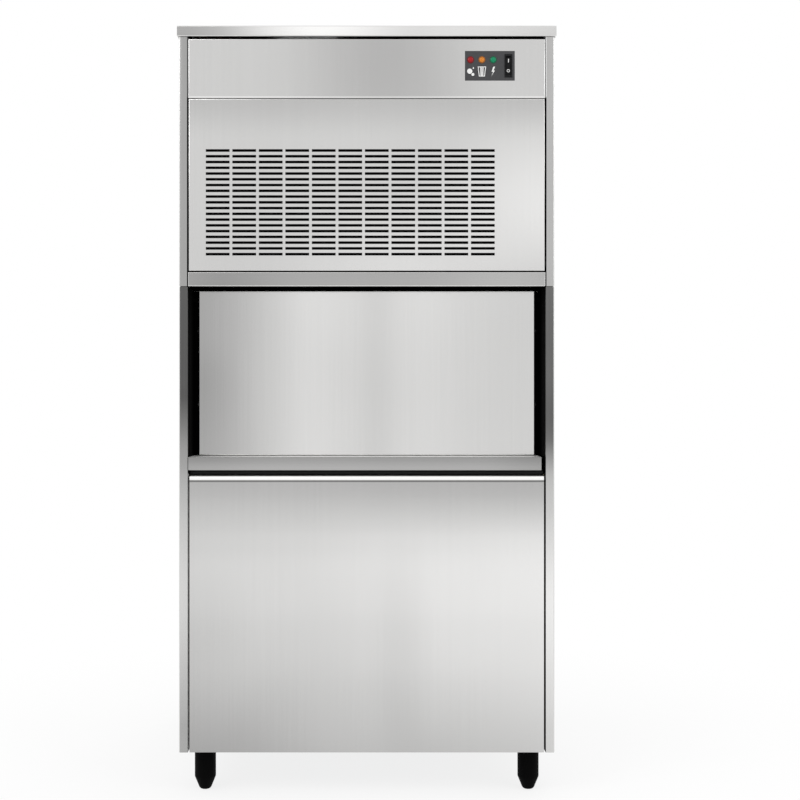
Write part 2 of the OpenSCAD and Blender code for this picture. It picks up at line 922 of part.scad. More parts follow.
// Hub, shaft and swept blades of the fan
module fan_rotor() {
    blade_t = 2.2;
    color("#3c3f42") {
        bar_y(cond_x, fan_y0, fan_y1, fan_z, fan_hub_r);
        bar_y(cond_x, fan_y1, fan_motor_y + fan_motor_l * 0.6, fan_z, fan_shaft_r);
        translate([cond_x, fan_y1 - 2, fan_z])
            rotate([90, 0, 0])
                for (i = [0 : fan_blades_n - 1])
                    rotate([0, 0, i * 360 / fan_blades_n])
                        linear_extrude(fan_d - 4, twist = 48, slices = 8, $fn = 4)
                            rect([fan_hub_r - 2, fan_r - 1], [-blade_t / 2, blade_t / 2]);
    }
}

module fan_motor() {
    boss_t = 3;
    color("#6d7074")
        difference() {
            union() {
                bar_y(cond_x, fan_motor_y, fan_motor_y + fan_motor_l, fan_z, fan_motor_r);
                bar_y(cond_x, fan_motor_y - boss_t, fan_motor_y, fan_z, fan_motor_r / 3);
                bar_y(cond_x, fan_motor_y + fan_motor_l, fan_motor_y + fan_motor_l + 5, fan_z,
                      fan_motor_r * 0.7);
            }
            bar_y(cond_x, fan_motor_y - boss_t - eps, fan_motor_y + fan_motor_l * 0.6 + eps, fan_z,
                  fan_shaft_r + run_fit);
        }
}

// A clamp band round the motor, on four legs from the shroud
module fan_bracket() {
    band_y = [fan_motor_y + 14, fan_motor_y + 14 + arm_w];
    reach = fan_r + 14;
    color(dark_steel)
        difference() {
            union() {
                bar_y(cond_x, band_y[0], band_y[1], fan_z, fan_motor_r + arm_t);
                for (turn = [45 : 90 : 315])
                    translate([cond_x, 0, fan_z])
                        rotate([0, turn, 0]) {
                            block([fan_motor_r + 1, reach], [band_y[0], band_y[0] + arm_t],
                                  [-arm_w / 2, arm_w / 2]);
                            block([reach - arm_t, reach], [shroud_y1, band_y[0] + arm_t],
                                  [-arm_w / 2, arm_w / 2]);
                        }
            }
            bar_y(cond_x, band_y[0] - eps, band_y[1] + eps, fan_z, fan_motor_r + 0.1);
        }
}

// A welded shell with domed ends, on a pressed base plate, with two pipe stubs on top
module compressor() {
    color("#2b2c2e") {
        difference() {
            union() {
                translate([comp_x, comp_y, comp_z0])
                    intersection() {
                        cylinder(r = comp_r, h = comp_h);
                        translate([0, 0, comp_h - dome_r])
                            sphere(r = dome_r);
                    }
                bar_z(comp_x, comp_y, comp_z0 + comp_h * 0.52, comp_z0 + comp_h * 0.55, comp_r + 4);
                block([comp_x - comp_base_w / 2, comp_x + comp_base_w / 2],
                      [comp_y - comp_base_d / 2, comp_y + comp_base_d / 2], [comp_base_z, comp_z0]);
                block([comp_x - 30, comp_x + 30], [comp_y - comp_r - 16, comp_y - comp_r / 2],
                      [comp_z0 + 30, comp_z0 + 85]);
                for (side = [-1, 1])
                    bar_z(comp_x + side * stub_off, comp_y + side * stub_off, comp_z1 - 60, stub_z,
                          stub_r + 1);
            }
            for (p = comp_bolts)
                bar_z(p[0], p[1], comp_base_z - eps, comp_z0 + eps, 4);
        }
    }
}

module compressor_grommets() {
    color(black)
        for (p = comp_bolts)
            difference() {
                union() {
                    bar_z(p[0], p[1], deck_z1, comp_base_z, 11);
                    bar_z(p[0], p[1], comp_z0, comp_z0 + 4, 9);
                    bar_z(p[0], p[1], comp_base_z - eps, comp_z0 + eps, 3.8);
                }
                bar_z(p[0], p[1], deck_z1 - eps, comp_z0 + 5, 2.5);
            }
}

module filter_drier() {
    color(copper)
        translate([drier_x, drier_y, drier_z0])
            rotate_extrude()
                polygon([[0, 0], [liquid_r + 1, 0], [liquid_r + 1, 8], [drier_r, 20],
                         [drier_r, drier_l - 20], [liquid_r + 1, drier_l - 8],
                         [liquid_r + 1, drier_l], [0, drier_l]]);
}

pipe_rise = 30;
discharge_top = stub_z + pipe_rise;

// Hot gas from the compressor to the condenser's front row
module discharge_pipe() {
    x = comp_x - stub_off;
    y = comp_y - stub_off;
    color(copper)
        pipe([[x, y, stub_z], [x, y, discharge_top], [pipe_x, y, discharge_top],
              [pipe_x, row_y[0], discharge_top], [pipe_x, row_y[0], tube_z0],
              [cond_tail_x, row_y[0], tube_z0]], discharge_r);
}

liquid_z = discharge_top + 26;
liquid_y = evap_y + foam_r + 40;
liquid_in_z = cyl_z0 + cyl_h * 0.35;
suction_x = evap_x - 24;
suction_y = liquid_y - 14;
suction_out_z = cyl_z0 + cyl_h * 0.62;

// Liquid from the condenser's rear row to the drier, and on to the freezing cylinder
module liquid_pipe() {
    color(copper) {
        pipe([[cond_tail_x, row_y[1], tube_z0], [drier_x, row_y[1], tube_z0],
              [drier_x, drier_y, tube_z0], [drier_x, drier_y, drier_z0]], liquid_r);
        pipe([[drier_x, drier_y, drier_z0 + drier_l], [drier_x, drier_y, liquid_z],
              [drier_x, liquid_y, liquid_z], [evap_x, liquid_y, liquid_z],
              [evap_x, liquid_y, liquid_in_z],
              [evap_x, evap_y + foam_r - 6, liquid_in_z]], liquid_r);
    }
}

// Cold gas from the freezing cylinder back to the compressor
module suction_pipe() {
    x = comp_x + stub_off;
    y = comp_y + stub_off;
    z = discharge_top;
    color(copper)
        pipe([[suction_x, evap_y + foam_r - 10, suction_out_z], [suction_x, suction_y, suction_out_z],
              [suction_x, suction_y, z], [x, suction_y, z], [x, y, z], [x, y, stub_z]], suction_r);
}

// Head: ice making

module gear_motor() {
    color("#55585c")
        difference() {
            union() {
                block([evap_x - gear_half, evap_x + gear_half], [evap_y - gear_half, evap_y + gear_half],
                      [deck_z1, cyl_z0 - 12]);
                bar_z(evap_x, evap_y, cyl_z0 - 12, cyl_z0, cyl_out + 6);
                bar_y(evap_x, evap_y + gear_half, evap_y + gear_half + gear_motor_l,
                      deck_z1 + gear_motor_r + 1, gear_motor_r);
                block([evap_x - 26, evap_x + 26], [evap_y + gear_half + 20, evap_y + gear_half + 80],
                      [deck_z1, deck_z1 + 12]);
            }
            bar_z(evap_x, evap_y, cyl_z0 - auger_foot - fit, cyl_z0 + eps, auger_r + run_fit);
        }
}

module freezing_cylinder() {
    color("#b8bcc0")
        translate([evap_x, evap_y, 0])
            rotate_extrude()
                polygon([[cyl_r, cyl_z0], [outlet_r, cyl_z0], [outlet_r, cyl_z0 + cyl_flange_t],
                         [cyl_out, cyl_z0 + cyl_flange_t], [cyl_out, cyl_z1 - cyl_flange_t],
                         [outlet_r, cyl_z1 - cyl_flange_t], [outlet_r, cyl_z1], [cyl_r, cyl_z1]]);
}

module cylinder_insulation() {
    color(foam)
        difference() {
            bar_z(evap_x, evap_y, cyl_z0 + cyl_flange_t, cyl_z1 - cyl_flange_t, foam_r);
            bar_z(evap_x, evap_y, cyl_z0, cyl_z1, cyl_out + 0.15);
            bar_y(evap_x, evap_y + cyl_out / 2, evap_y + foam_r + eps, liquid_in_z, liquid_r + fit);
            bar_y(suction_x, evap_y + cyl_out / 2, evap_y + foam_r + eps, suction_out_z,
                  suction_r + fit);
            bar_y(hose_x, evap_y + cyl_out / 2, evap_y + foam_r + eps, hose_z, hose_r + fit);
        }
}

// A shaft with one helical flight and a two-armed breaker above it
module auger() {
    outer = cyl_r - flight_gap;
    steps = ceil(flight_turns * flight_steps);
    inner = (auger_r + weld_gap) / cos(180 * flight_turns / steps);
    breaker_z = cyl_z1 + 10;
    color("#cfd2d4") {
        bar_z(evap_x, evap_y, cyl_z0 - auger_foot, outlet_z1 - outlet_roof - 2, auger_r);
        bar_z(evap_x, evap_y, outlet_z1 - outlet_roof - 2, outlet_z1 - 3, auger_neck_r);
        block([evap_x - cyl_r + 6, evap_x + cyl_r - 6], [evap_y - 6, evap_y + 6],
              [breaker_z, breaker_z + 10]);
        translate([evap_x, evap_y, flight_z0])
            skin([for (i = [0 : steps])
                let (turn = 360 * flight_turns * i / steps, z = flight_turns * flight_pitch * i / steps)
                    [for (p = [[inner, flight_t], [outer, flight_t], [outer, 0], [inner, 0]])
                        [p[0] * cos(turn), p[0] * sin(turn), z + p[1]]]]);
    }
}

// The head that gathers the flakes and turns them out to the chute
module ice_outlet() {
    color("#dfe1e0")
        difference() {
            union() {
                bar_z(evap_x, evap_y, cyl_z1, outlet_z1, outlet_r);
                block([chute_x + chute_w / 2, evap_x], [evap_y - spout_half - spout_t,
                      evap_y + spout_half + spout_t], [spout_z0 - spout_t, spout_z1 + spout_t]);
            }
            bar_z(evap_x, evap_y, cyl_z1 - eps, outlet_z1 - outlet_roof, cyl_r);
            block([chute_x + chute_w / 2 - eps, evap_x], [evap_y - spout_half, evap_y + spout_half],
                  [spout_z0, spout_z1]);
            bar_z(evap_x, evap_y, outlet_z1 - outlet_roof - eps, outlet_z1 - 2,
                  auger_neck_r + run_fit);
        }
}

// A square duct that drops the flakes through the deck, with lugs for the bin-full flap
module ice_chute() {
    x = [chute_x - chute_w / 2, chute_x + chute_w / 2];
    y = [chute_y - chute_d / 2, chute_y + chute_d / 2];
    color(white)
        difference() {
            union() {
                block(x, y, [chute_z0, chute_z1]);
                for (side = [-1, 1])
                    block([chute_x + side * (flap_half + 5) - lug_t / 2,
                           chute_x + side * (flap_half + 5) + lug_t / 2],
                          [flap_y - 5, y[0]], [chute_z0, chute_z0 + 12]);
            }
            block([x[0] + chute_t, x[1] - chute_t], [y[0] + chute_t, y[1] - chute_t],
                  [chute_z0 - eps, chute_z1 - chute_t]);
            block([x[1] - chute_t - eps, x[1] + eps], [evap_y - spout_half, evap_y + spout_half],
                  [spout_z0, spout_z1]);
            for (side = [-1, 1])
                bar_x(chute_x + side * (flap_half + 5) - lug_t, chute_x + side * (flap_half + 5) + lug_t,
                      flap_y, flap_z, flap_pin_r + run_fit);
        }
}

// A hanging plate that rising ice pushes forward
module bin_full_flap() {
    color("#d0d4d6") {
        bar_x(chute_x - flap_half - 7, chute_x + flap_half + 7, flap_y, flap_z, flap_pin_r);
        bar_x(chute_x - flap_half, chute_x + flap_half, flap_y, flap_z, flap_pin_r + 2);
        block([chute_x - flap_half, chute_x + flap_half], [flap_y - flap_t / 2, flap_y + flap_t / 2],
              [flap_z - flap_h, flap_z]);
    }
}

// Head: water

module water_tank() {
    color(white)
        difference() {
            union() {
                block([tank_x0, tank_x1], [tank_y0, back_in], [tank_z0, tank_z1]);
                bar_z(hose_x, hose_y, tank_z0 - 10, tank_z0 + eps, hose_r + 2);
            }
            block([tank_x0 + tank_t, tank_x1 - tank_t], [tank_y0 + tank_t, back_in - tank_t],
                  [tank_z0 + tank_t, tank_z1 + eps]);
            bar_y(inlet_x, back_in - tank_t - eps, back_in + eps, inlet_z, shank_r + fit);
            bar_z(hose_x, hose_y, tank_z0 - 10 - eps, tank_z0 + tank_t + eps, hose_r - 2);
        }
}

module tank_lid() {
    lid_t = 3;
    lip = 6;
    grip = tank_t + fit;
    color("#f0f0ee") {
        block([tank_x0 - 2, tank_x1 + 2], [tank_y0 - 2, back_in], [tank_z1, tank_z1 + lid_t]);
        difference() {
            block([tank_x0 + grip, tank_x1 - grip], [tank_y0 + grip, back_in - grip],
                  [tank_z1 - lip, tank_z1 + eps]);
            block([tank_x0 + grip + 2, tank_x1 - grip - 2], [tank_y0 + grip + 2, back_in - grip - 2],
                  [tank_z1 - lip - eps, tank_z1]);
        }
    }
}

// The valve on the inlet's shank, with two ears for the float's pin
module float_valve() {
    color("#e9e4d6")
        difference() {
            union() {
                block([inlet_x - valve_half, inlet_x + valve_half], [valve_y0, valve_y1],
                      [inlet_z - valve_half, inlet_z + valve_half]);
                for (side = [-1, 1])
                    block([inlet_x + side * 8.5 - 2, inlet_x + side * 8.5 + 2], [float_y - 5, valve_y0],
                          [float_z - 5, float_z + 5]);
            }
            bar_x(inlet_x - valve_half - eps, inlet_x + valve_half + eps, float_y, float_z,
                  float_pin_r + run_fit);
        }
}

// Arm and float, hanging at the lower stop of an empty tank
module float_arm() {
    color("#d84a3a")
        translate([inlet_x, float_y, float_z])
            rotate([float_droop, 0, 0]) {
                bar_x(-10.5, 10.5, 0, 0, float_pin_r);
                bar_x(-6, 6, 0, 0, float_pin_r + 2);
                block([-3, 3], [-float_l, 0], [-1.5, 1.5]);
                bar_x(-float_half, float_half, -float_l, 0, float_r);
            }
}

// Threaded inlet with its flange outside the back panel and its nut inside the tank
module water_inlet() {
    color("#c9a54a")
        difference() {
            union() {
                bar_y(inlet_x, y_back - sheet, y_back + 3, inlet_z, inlet_flange_r);
                bar_y(inlet_x, y_back + 3 - eps, y_back + rear_reach, inlet_z, inlet_r);
                bar_y(inlet_x, valve_y1, y_back, inlet_z, shank_r);
                translate([inlet_x, back_in - tank_t, inlet_z])
                    rotate([90, 0, 0])
                        cylinder(r = shank_r + 5, h = inlet_nut_t, $fn = 6);
            }
            bar_y(inlet_x, valve_y1 + 2, y_back + rear_reach + eps, inlet_z, shank_r - 3);
        }
}

module water_hose() {
    color("#dfe6e8")
        pipe([[hose_x, hose_y, tank_z0 - 10], [hose_x, hose_y, hose_z],
              [hose_x, evap_y + foam_r - 12, hose_z]], hose_r);
}

// Gland for the supply lead, bare
module cable_gland() {
    color(black)
        difference() {
            union() {
                bar_y(gland_x, back_in - 12, y_back + 10, gland_z, gland_r);
                translate([gland_x, y_back + 8, gland_z])
                    rotate([90, 0, 0])
                        cylinder(r = gland_r + 4, h = 8 + sheet, $fn = 6);
                translate([gland_x, back_in, gland_z])
                    rotate([90, 0, 0])
                        cylinder(r = gland_r + 4, h = 6, $fn = 6);
                bar_y(gland_x, y_back + 8, y_back + 20, gland_z, gland_r - 1.5);
            }
            bar_y(gland_x, back_in - 12 - eps, y_back + 20 + eps, gland_z, gland_bore);
        }
}

// Bin: sheet metal

module bin_right_side() {
    side_panel(foot_h, bin_top);
    block([half_w - flange_w, half_w], [throat_y, y_back], [bin_top, seam_z]);
    block([inner_half, half_w], [y_front, yf(return_d)], [bin_top, seam_z]);
    block([wall_half, half_w], [y_front, throat_y], [bin_top, seam_z]);
}

module bin_right_panel() {
    color(steel)
        bin_right_side();
}

module bin_left_panel() {
    color(steel)
        mirror([1, 0, 0])
            bin_right_side();
}

module bin_back_panel() {
    color(steel)
        facing(back_in, back_in + sheet)
            difference() {
                rect([-wall_half, wall_half], [foot_h, bin_top]);
                translate([-drain_x, drain_z])
                    circle(r = drain_r + 1 + fit);
            }
}

// Base sheet with a raised front lip and a nut boss over each foot
module bottom_pan() {
    z1 = foot_h + pan_t;
    color(dark_steel)
        difference() {
            union() {
                block([-wall_half, wall_half], [yf(return_d), back_in], [foot_h, z1]);
                block([-wall_half, wall_half], [yf(return_d), yf(return_d) + pan_t],
                      [foot_h, foot_h + pan_lip]);
                for (p = foot_places)
                    bar_z(p[0], p[1], foot_h, z1 + boss_h, boss_r);
            }
            for (p = foot_places)
                bar_z(p[0], p[1], foot_h - eps, z1 + boss_h + eps, stud_r + run_fit);
        }
}

// Section of the lower panel: bottom fold, face, rolled top edge and top fold
function arc(y, z, r, from, to, n) = [
    for (k = [0 : n])
        let (angle = from + (to - from) * k / n)
            [y + r * cos(angle), z + r * sin(angle)]];

module lower_panel_section() {
    roll_y = yf(roll_r);
    roll_z = panel_z1 - roll_r;
    polygon(concat(
        [[yf(return_d), foot_h], [y_front, foot_h]],
        arc(roll_y, roll_z, roll_r, 180, 90, 8),
        [[yf(panel_fold), panel_z1], [yf(panel_fold), panel_under]],
        arc(roll_y, roll_z, roll_r - sheet, 90, 180, 8),
        [[yf(sheet), foot_h + sheet], [yf(return_d), foot_h + sheet]]));
}

module lower_front_panel() {
    color(steel) {
        along_x(-panel_half, panel_half)
            lower_panel_section();
        both_sides()
            block([panel_half - sheet, panel_half], [yf(sheet / 2), yf(return_d)],
                  [foot_h, panel_z1 - roll_r]);
    }
}

module door_sill() {
    color(dark_steel)
        along_x(-rail_half, inner_half - sill_end_gap) {
            rect([y_front, throat_y], [sill_z1 - sheet, sill_z1]);
            rect([y_front, yf(sheet)], [sill_z0, sill_z1]);
            rect([y_front, yf(return_d)], [sill_z0, sill_z0 + sheet]);
        }
}

// Bin: tub, foam and door bay

// An open-topped tub with the throat cut in its front wall
module bin_liner() {
    color(white)
        difference() {
            block([-liner_half, liner_half], [liner_y0, liner_y1], [liner_z0, bin_top]);
            block([liner_t - liner_half, liner_half - liner_t], [liner_y0 + liner_t, liner_y1 - liner_t],
                  [liner_z0 + liner_t, bin_top + eps]);
            block([-throat_half, throat_half], [liner_y0 - eps, liner_y0 + liner_t + eps],
                  [throat_z0, throat_z1]);
            bar_z(-drain_x, drain_y, liner_z0 - eps, liner_z0 + liner_t + eps, drain_leg_r + fit);
        }
}

module bin_insulation() {
    y0 = yf(return_d) + pan_t;
    color(foam)
        difference() {
            block([-wall_half, wall_half], [y0, back_in], [foot_h + pan_t, bin_top]);
            block([-liner_half, liner_half], [liner_y0, liner_y1], [liner_z0, bin_top + eps]);
            block([-half_w, half_w], [y0 - eps, liner_y0], [panel_under, bin_top + eps]);
            for (p = foot_places)
                bar_z(p[0], p[1], foot_h, foot_h + pan_t + stud_l, boss_r + fit);
            bar_z(-drain_x, drain_y, drain_z - drain_leg_r, liner_z0 + eps, drain_leg_r + fit);
            bar_y(-drain_x, drain_y - drain_leg_r - 2, back_in + eps, drain_z, drain_r + 1 + fit);
        }
}

// Moulded lining of the bay's right side, with the blind bore for a hinge pin
module right_jamb() {
    z = [sill_z1, bin_top];
    rib_t = 3;
    difference() {
        union() {
            block([jamb_x, jamb_x + jamb_t], [jamb_y0, throat_y], z);
            block([jamb_x, wall_half], [jamb_y0, jamb_y0 + rib_t], z);
            block([jamb_x, wall_half], [throat_y - rib_t, throat_y], z);
            bar_x(jamb_x, wall_half, pivot_y, pivot_z, jamb_boss_r);
        }
        bar_x(jamb_x - eps, jamb_x + jamb_bore_l, pivot_y, pivot_z, pin_r + run_fit);
    }
}

module door_jambs() {
    color(black)
        both_sides()
            right_jamb();
}

module throat_frame() {
    color(black)
        facing(throat_y, liner_y0)
            difference() {
                rect([-wall_half, wall_half], [panel_under, bin_top]);
                rect([-throat_half, throat_half], [throat_z0, throat_z1]);
            }
}

module door_gasket() {
    color(black)
        facing(door_y1 + fit, throat_y)
            difference() {
                rect([-throat_half - gasket_w, throat_half + gasket_w],
                     [throat_z0 - gasket_w, throat_z1 + gasket_w]);
                rect([-throat_half, throat_half], [throat_z0, throat_z1]);
            }
}

module door_skin() {
    color(steel)
        difference() {
            pan(door_half, door_y0, door_t - 2, [door_z0, door_z1]);
            bar_x(-door_half - eps, door_half + eps, pivot_y, pivot_z, pin_r + run_fit);
        }
}

// Foam-filled inner moulding with a pressed field on its back
module door_liner() {
    half = door_half - sheet;
    z = [door_z0 + sheet, door_z1 - sheet];
    field = 34;
    color(white)
        difference() {
            block([-half, half], [door_y0 + sheet, door_y1], z);
            block([field - half, half - field], [door_y1 - 4, door_y1 + eps],
                  [z[0] + field, z[1] - field]);
            both_sides()
                bar_x(half - 24, half + eps, pivot_y, pivot_z, pin_r + run_fit);
        }
}

module hinge_pins() {
    collar = 2;
    color("#c9ccce")
        both_sides() {
            bar_x(door_half - 24, jamb_x + jamb_bore_l - 1.5, pivot_y, pivot_z, pin_r);
            bar_x(door_half, door_half + collar, pivot_y, pivot_z, pin_r + 2.5);
        }
}

// An elbow from the tub's floor to the back
module drain_fitting() {
    color("#a8aaa9")
        difference() {
            union() {
                bar_z(-drain_x, drain_y, drain_z, liner_z0 + liner_t, drain_leg_r);
                bar_y(-drain_x, drain_y - drain_leg_r - 1, y_back - sheet, drain_z, drain_r + 1);
                bar_y(-drain_x, y_back - sheet - eps, y_back + rear_reach, drain_z, drain_r);
            }
            bar_z(-drain_x, drain_y, drain_z, liner_z0 + liner_t + eps, drain_bore + 1);
            bar_y(-drain_x, drain_y - drain_bore - 2, y_back + rear_reach + eps, drain_z, drain_bore);
        }
}

// A bullet foot on a threaded stud
module foot(p) {
    top = foot_h - fit;
    stud_top = foot_h + stud_l - 3;
    edge = 1.5;
    tip_lean = 24;
    color(black)
        translate([p[0], p[1], 0])
            rotate_extrude()
                polygon(concat([[0, 0]], arc(sole_r, tip_r, tip_r, -90, -tip_lean, 6),
                    [[foot_r, taper_h], [foot_r, top - edge], [foot_r - edge, top], [stud_r, top],
                     [stud_r, stud_top - 1], [stud_r - 1, stud_top], [0, stud_top]]));
}

module foot_front_left() {
    foot(foot_places[0]);
}

module foot_front_right() {
    foot(foot_places[1]);
}

module foot_rear_left() {
    foot(foot_places[2]);
}

module foot_rear_right() {
    foot(foot_places[3]);
}

top_cover();
head_left_panel();
head_right_panel();
head_back_panel();
head_deck();
front_rail();
control_fascia();
control_plate();
red_lamp();
amber_lamp();
green_lamp();
switch_housing();
switch_rocker();
grille_panel();
electrical_box();
condenser_fins();
condenser_tubes();
fan_shroud();
fan_rotor();
fan_motor();
fan_bracket();
compressor();
compressor_grommets();
filter_drier();
discharge_pipe();
liquid_pipe();
suction_pipe();
gear_motor();
freezing_cylinder();
cylinder_insulation();
auger();
ice_outlet();
ice_chute();
bin_full_flap();
water_tank();
tank_lid();
float_valve();
float_arm();
water_inlet();
water_hose();
cable_gland();
bin_left_panel();
bin_right_panel();
bin_back_panel();
bottom_pan();
lower_front_panel();
door_sill();
bin_liner();
bin_insulation();
door_jambs();
throat_frame();
door_gasket();
door_skin();
door_liner();
hinge_pins();
drain_fitting();
foot_front_left();
foot_front_right();
foot_rear_left();
foot_rear_right();
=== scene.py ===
# %% [markdown]
# # Dressing a flake ice machine
# The machine is a steel ice-making head on an insulated bin. Its solids come from CAD and
# stay where they are. This lesson gives them rounded folds, brushed steel, moulded plastic,
# printed marks and small fasteners, then sets up a plain studio.

# %% Load the fixed frame
import json
from math import pi, radians

import bmesh
import bpy
from mathutils import Matrix, Vector


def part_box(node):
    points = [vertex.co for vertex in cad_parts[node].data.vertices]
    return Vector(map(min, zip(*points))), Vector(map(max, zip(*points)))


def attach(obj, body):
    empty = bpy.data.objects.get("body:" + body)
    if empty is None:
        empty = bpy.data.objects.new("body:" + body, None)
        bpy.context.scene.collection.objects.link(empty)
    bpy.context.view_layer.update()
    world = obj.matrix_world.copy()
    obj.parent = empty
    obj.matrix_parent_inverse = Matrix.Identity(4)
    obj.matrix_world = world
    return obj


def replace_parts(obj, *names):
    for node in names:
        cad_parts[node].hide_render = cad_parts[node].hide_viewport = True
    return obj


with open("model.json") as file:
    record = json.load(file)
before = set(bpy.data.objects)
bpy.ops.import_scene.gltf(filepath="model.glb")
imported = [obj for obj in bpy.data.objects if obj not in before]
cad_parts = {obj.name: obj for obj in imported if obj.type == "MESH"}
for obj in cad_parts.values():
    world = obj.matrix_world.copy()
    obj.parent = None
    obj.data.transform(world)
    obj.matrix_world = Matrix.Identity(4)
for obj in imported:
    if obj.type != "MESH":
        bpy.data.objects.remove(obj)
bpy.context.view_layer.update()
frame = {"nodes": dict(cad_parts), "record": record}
nodes = frame["nodes"]
bodies = frame["record"]["behaviour"]["bodies"]
body_of = {node: body for body, members in bodies.items() for node in members}
MM = 0.001

# %% [markdown]
# ## Camera
# The photograph looks straight at the front from about two metres, level with the middle of
# the machine. A long lens with a little sideways shift gives the same framing without
# turning the camera, so upright edges stay upright.

# %% Camera
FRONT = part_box("grille_panel")[0].y
EYE_HEIGHT = 0.592
EYE_DISTANCE = 2.0
VIEW_WIDTH = 1.1935
SIDE_SHIFT = 0.0416
SENSOR = 36.0

lens_data = bpy.data.cameras.new("front_camera")
lens_data.sensor_width = SENSOR
lens_data.lens = SENSOR * EYE_DISTANCE / VIEW_WIDTH
lens_data.shift_x = SIDE_SHIFT
camera = bpy.data.objects.new("front_camera", lens_data)
camera.location = (0, FRONT - EYE_DISTANCE, EYE_HEIGHT)
camera.rotation_euler = (radians(90), 0, 0)
bpy.context.scene.collection.objects.link(camera)
bpy.context.scene.camera = camera
bpy.context.scene.view_settings.view_transform = "Standard"
print("lens", round(lens_data.lens, 2), "mm")

# %% [markdown]
# ## Shader maths
# A material is a tree of nodes. Writing sums as Python is easier to read than wiring Math
# nodes by hand, so one small class wraps a socket: an operator adds the Math node for it,
# and one method adds any other node with its settings first and its sockets after.

# %% A socket that does sums
class Wire:
    def __init__(self, tree, socket=None):
        self.tree = tree
        self.socket = socket

    def node(self, kind, settings=None, sockets=None, out=0):
        made = self.tree.nodes.new(kind)
        for key, value in (settings or {}).items():
            if key == "stops":
                self.set_stops(made.color_ramp, value)
            else:
                setattr(made, key, value)
        for key, value in (sockets or {}).items():
            if isinstance(value, Wire):
                self.tree.links.new(value.socket, made.inputs[key])
            else:
                made.inputs[key].default_value = value
        return Wire(self.tree, made.outputs[out])

    def set_stops(self, ramp, stops):
        ramp.interpolation = "CARDINAL"
        while len(ramp.elements) < len(stops):
            ramp.elements.new(0.5)
        for element, (place, tone) in zip(ramp.elements, stops):
            element.position = place
            element.color = (tone, tone, tone, 1)

    def sum(self, operation, *values):
        return self.node("ShaderNodeMath", {"operation": operation}, dict(enumerate(values)))

    def __add__(self, other):
        return self.sum("ADD", self, other)

    __radd__ = __add__

    def __sub__(self, other):
        return self.sum("SUBTRACT", self, other)

    def __rsub__(self, other):
        return self.sum("SUBTRACT", other, self)

    def __mul__(self, other):
        return self.sum("MULTIPLY", self, other)

    __rmul__ = __mul__


def new_finish(name, **constants):
    material = bpy.data.materials.new(name)
    material.use_nodes = True
    shader = material.node_tree.nodes["Principled BSDF"]
    for socket, value in constants.items():
        shader.inputs[socket.replace("_", " ")].default_value = value
    return material, Wire(material.node_tree), shader


def feed(shader, socket, wire):
    wire.tree.links.new(wire.socket, shader.inputs[socket])


def object_place(pen):
    return pen.node("ShaderNodeTexCoord", out="Object")


def axis_of(pen, place, axis):
    return pen.node("ShaderNodeSeparateXYZ", None, {0: place}, out="XYZ".index(axis))


def between(pen, value, low, high, start=0.0, end=1.0):
    return pen.node("ShaderNodeMapRange", {"interpolation_type": "SMOOTHSTEP"},
                    {"Value": value, "From Min": low, "From Max": high,
                     "To Min": start, "To Max": end})


def noise(pen, place, scale, detail=2.0, rough=0.5):
    stretched = pen.node("ShaderNodeMapping", None, {"Vector": place, "Scale": scale})
    return pen.node("ShaderNodeTexNoise", None,
                    {"Vector": stretched, "Scale": 1.0, "Detail": detail, "Roughness": rough})


def tinted(pen, value, tint=(1.0, 1.0, 1.0)):
    """A colour that is a tint times a varying value."""
    return pen.node("ShaderNodeCombineColor", None,
                    {channel: value * share
                     for channel, share in zip(("Red", "Green", "Blue"), tint)})


print("shader maths ready")

# %% [markdown]
# ## Studio
# The photograph is a cut-out on pure white. A white world gives that, and the steel mirrors
# it too. The light that falls on matt surfaces is kept plain, so a colour renders about as
# it is written. The floor is nearly white for the camera but still holds a soft shadow.

# %% World, floor and lamps
FLOOR_SIZE = 14.0
FLOOR_TONE = 0.9
WORLD_ON_MATT = 0.72
SHADOW_REACH = (0.35, 1.1)
SHADOW_FADE = (0.80, 1.0)
LAMP_AIM = Vector((0, 0, 0.6))
LAMPS = {
    "key_lamp": {"place": (-2.6, -3.0, 3.2), "size": 2.4, "power": 60},
    "fill_lamp": {"place": (2.8, -2.6, 2.4), "size": 2.0, "power": 30},
    "rear_lamp": {"place": (0.6, 3.4, 2.8), "size": 2.4, "power": 50},
}


def seen_directly(pen):
    seen = pen.node("ShaderNodeLightPath", out="Is Camera Ray")
    for ray in ("Is Glossy Ray", "Is Transmission Ray"):
        seen = pen.sum("MAXIMUM", seen, pen.node("ShaderNodeLightPath", out=ray))
    return seen


world = bpy.data.worlds.new("white_studio")
world.use_nodes = True
bpy.context.scene.world = world
sky = Wire(world.node_tree)
background = world.node_tree.nodes["Background"]
background.inputs["Color"].default_value = (1, 1, 1, 1)
feed(background, "Strength", seen_directly(sky) * (1 - WORLD_ON_MATT) + WORLD_ON_MATT)

floor_finish, pen, shader = new_finish(
    "pale_floor", Base_Color=(FLOOR_TONE, FLOOR_TONE, FLOOR_TONE, 1), Roughness=0.9)
white_floor = pen.node("ShaderNodeEmission", None, {"Color": (1, 1, 1, 1), "Strength": 1.0})
matt_floor = Wire(pen.tree, shader.outputs[0])
away = pen.node("ShaderNodeVectorMath", {"operation": "LENGTH"}, {0: object_place(pen)},
                out="Value")
fade = between(pen, away, *SHADOW_REACH, *SHADOW_FADE)
mixed_floor = pen.node("ShaderNodeMixShader", None,
                       {0: seen_directly(pen) * fade, 1: matt_floor, 2: white_floor})
pen.tree.links.new(mixed_floor.socket, pen.tree.nodes["Material Output"].inputs["Surface"])


def link(name, mesh):
    made = bpy.data.objects.new(name, mesh)
    bpy.context.scene.collection.objects.link(made)
    return made


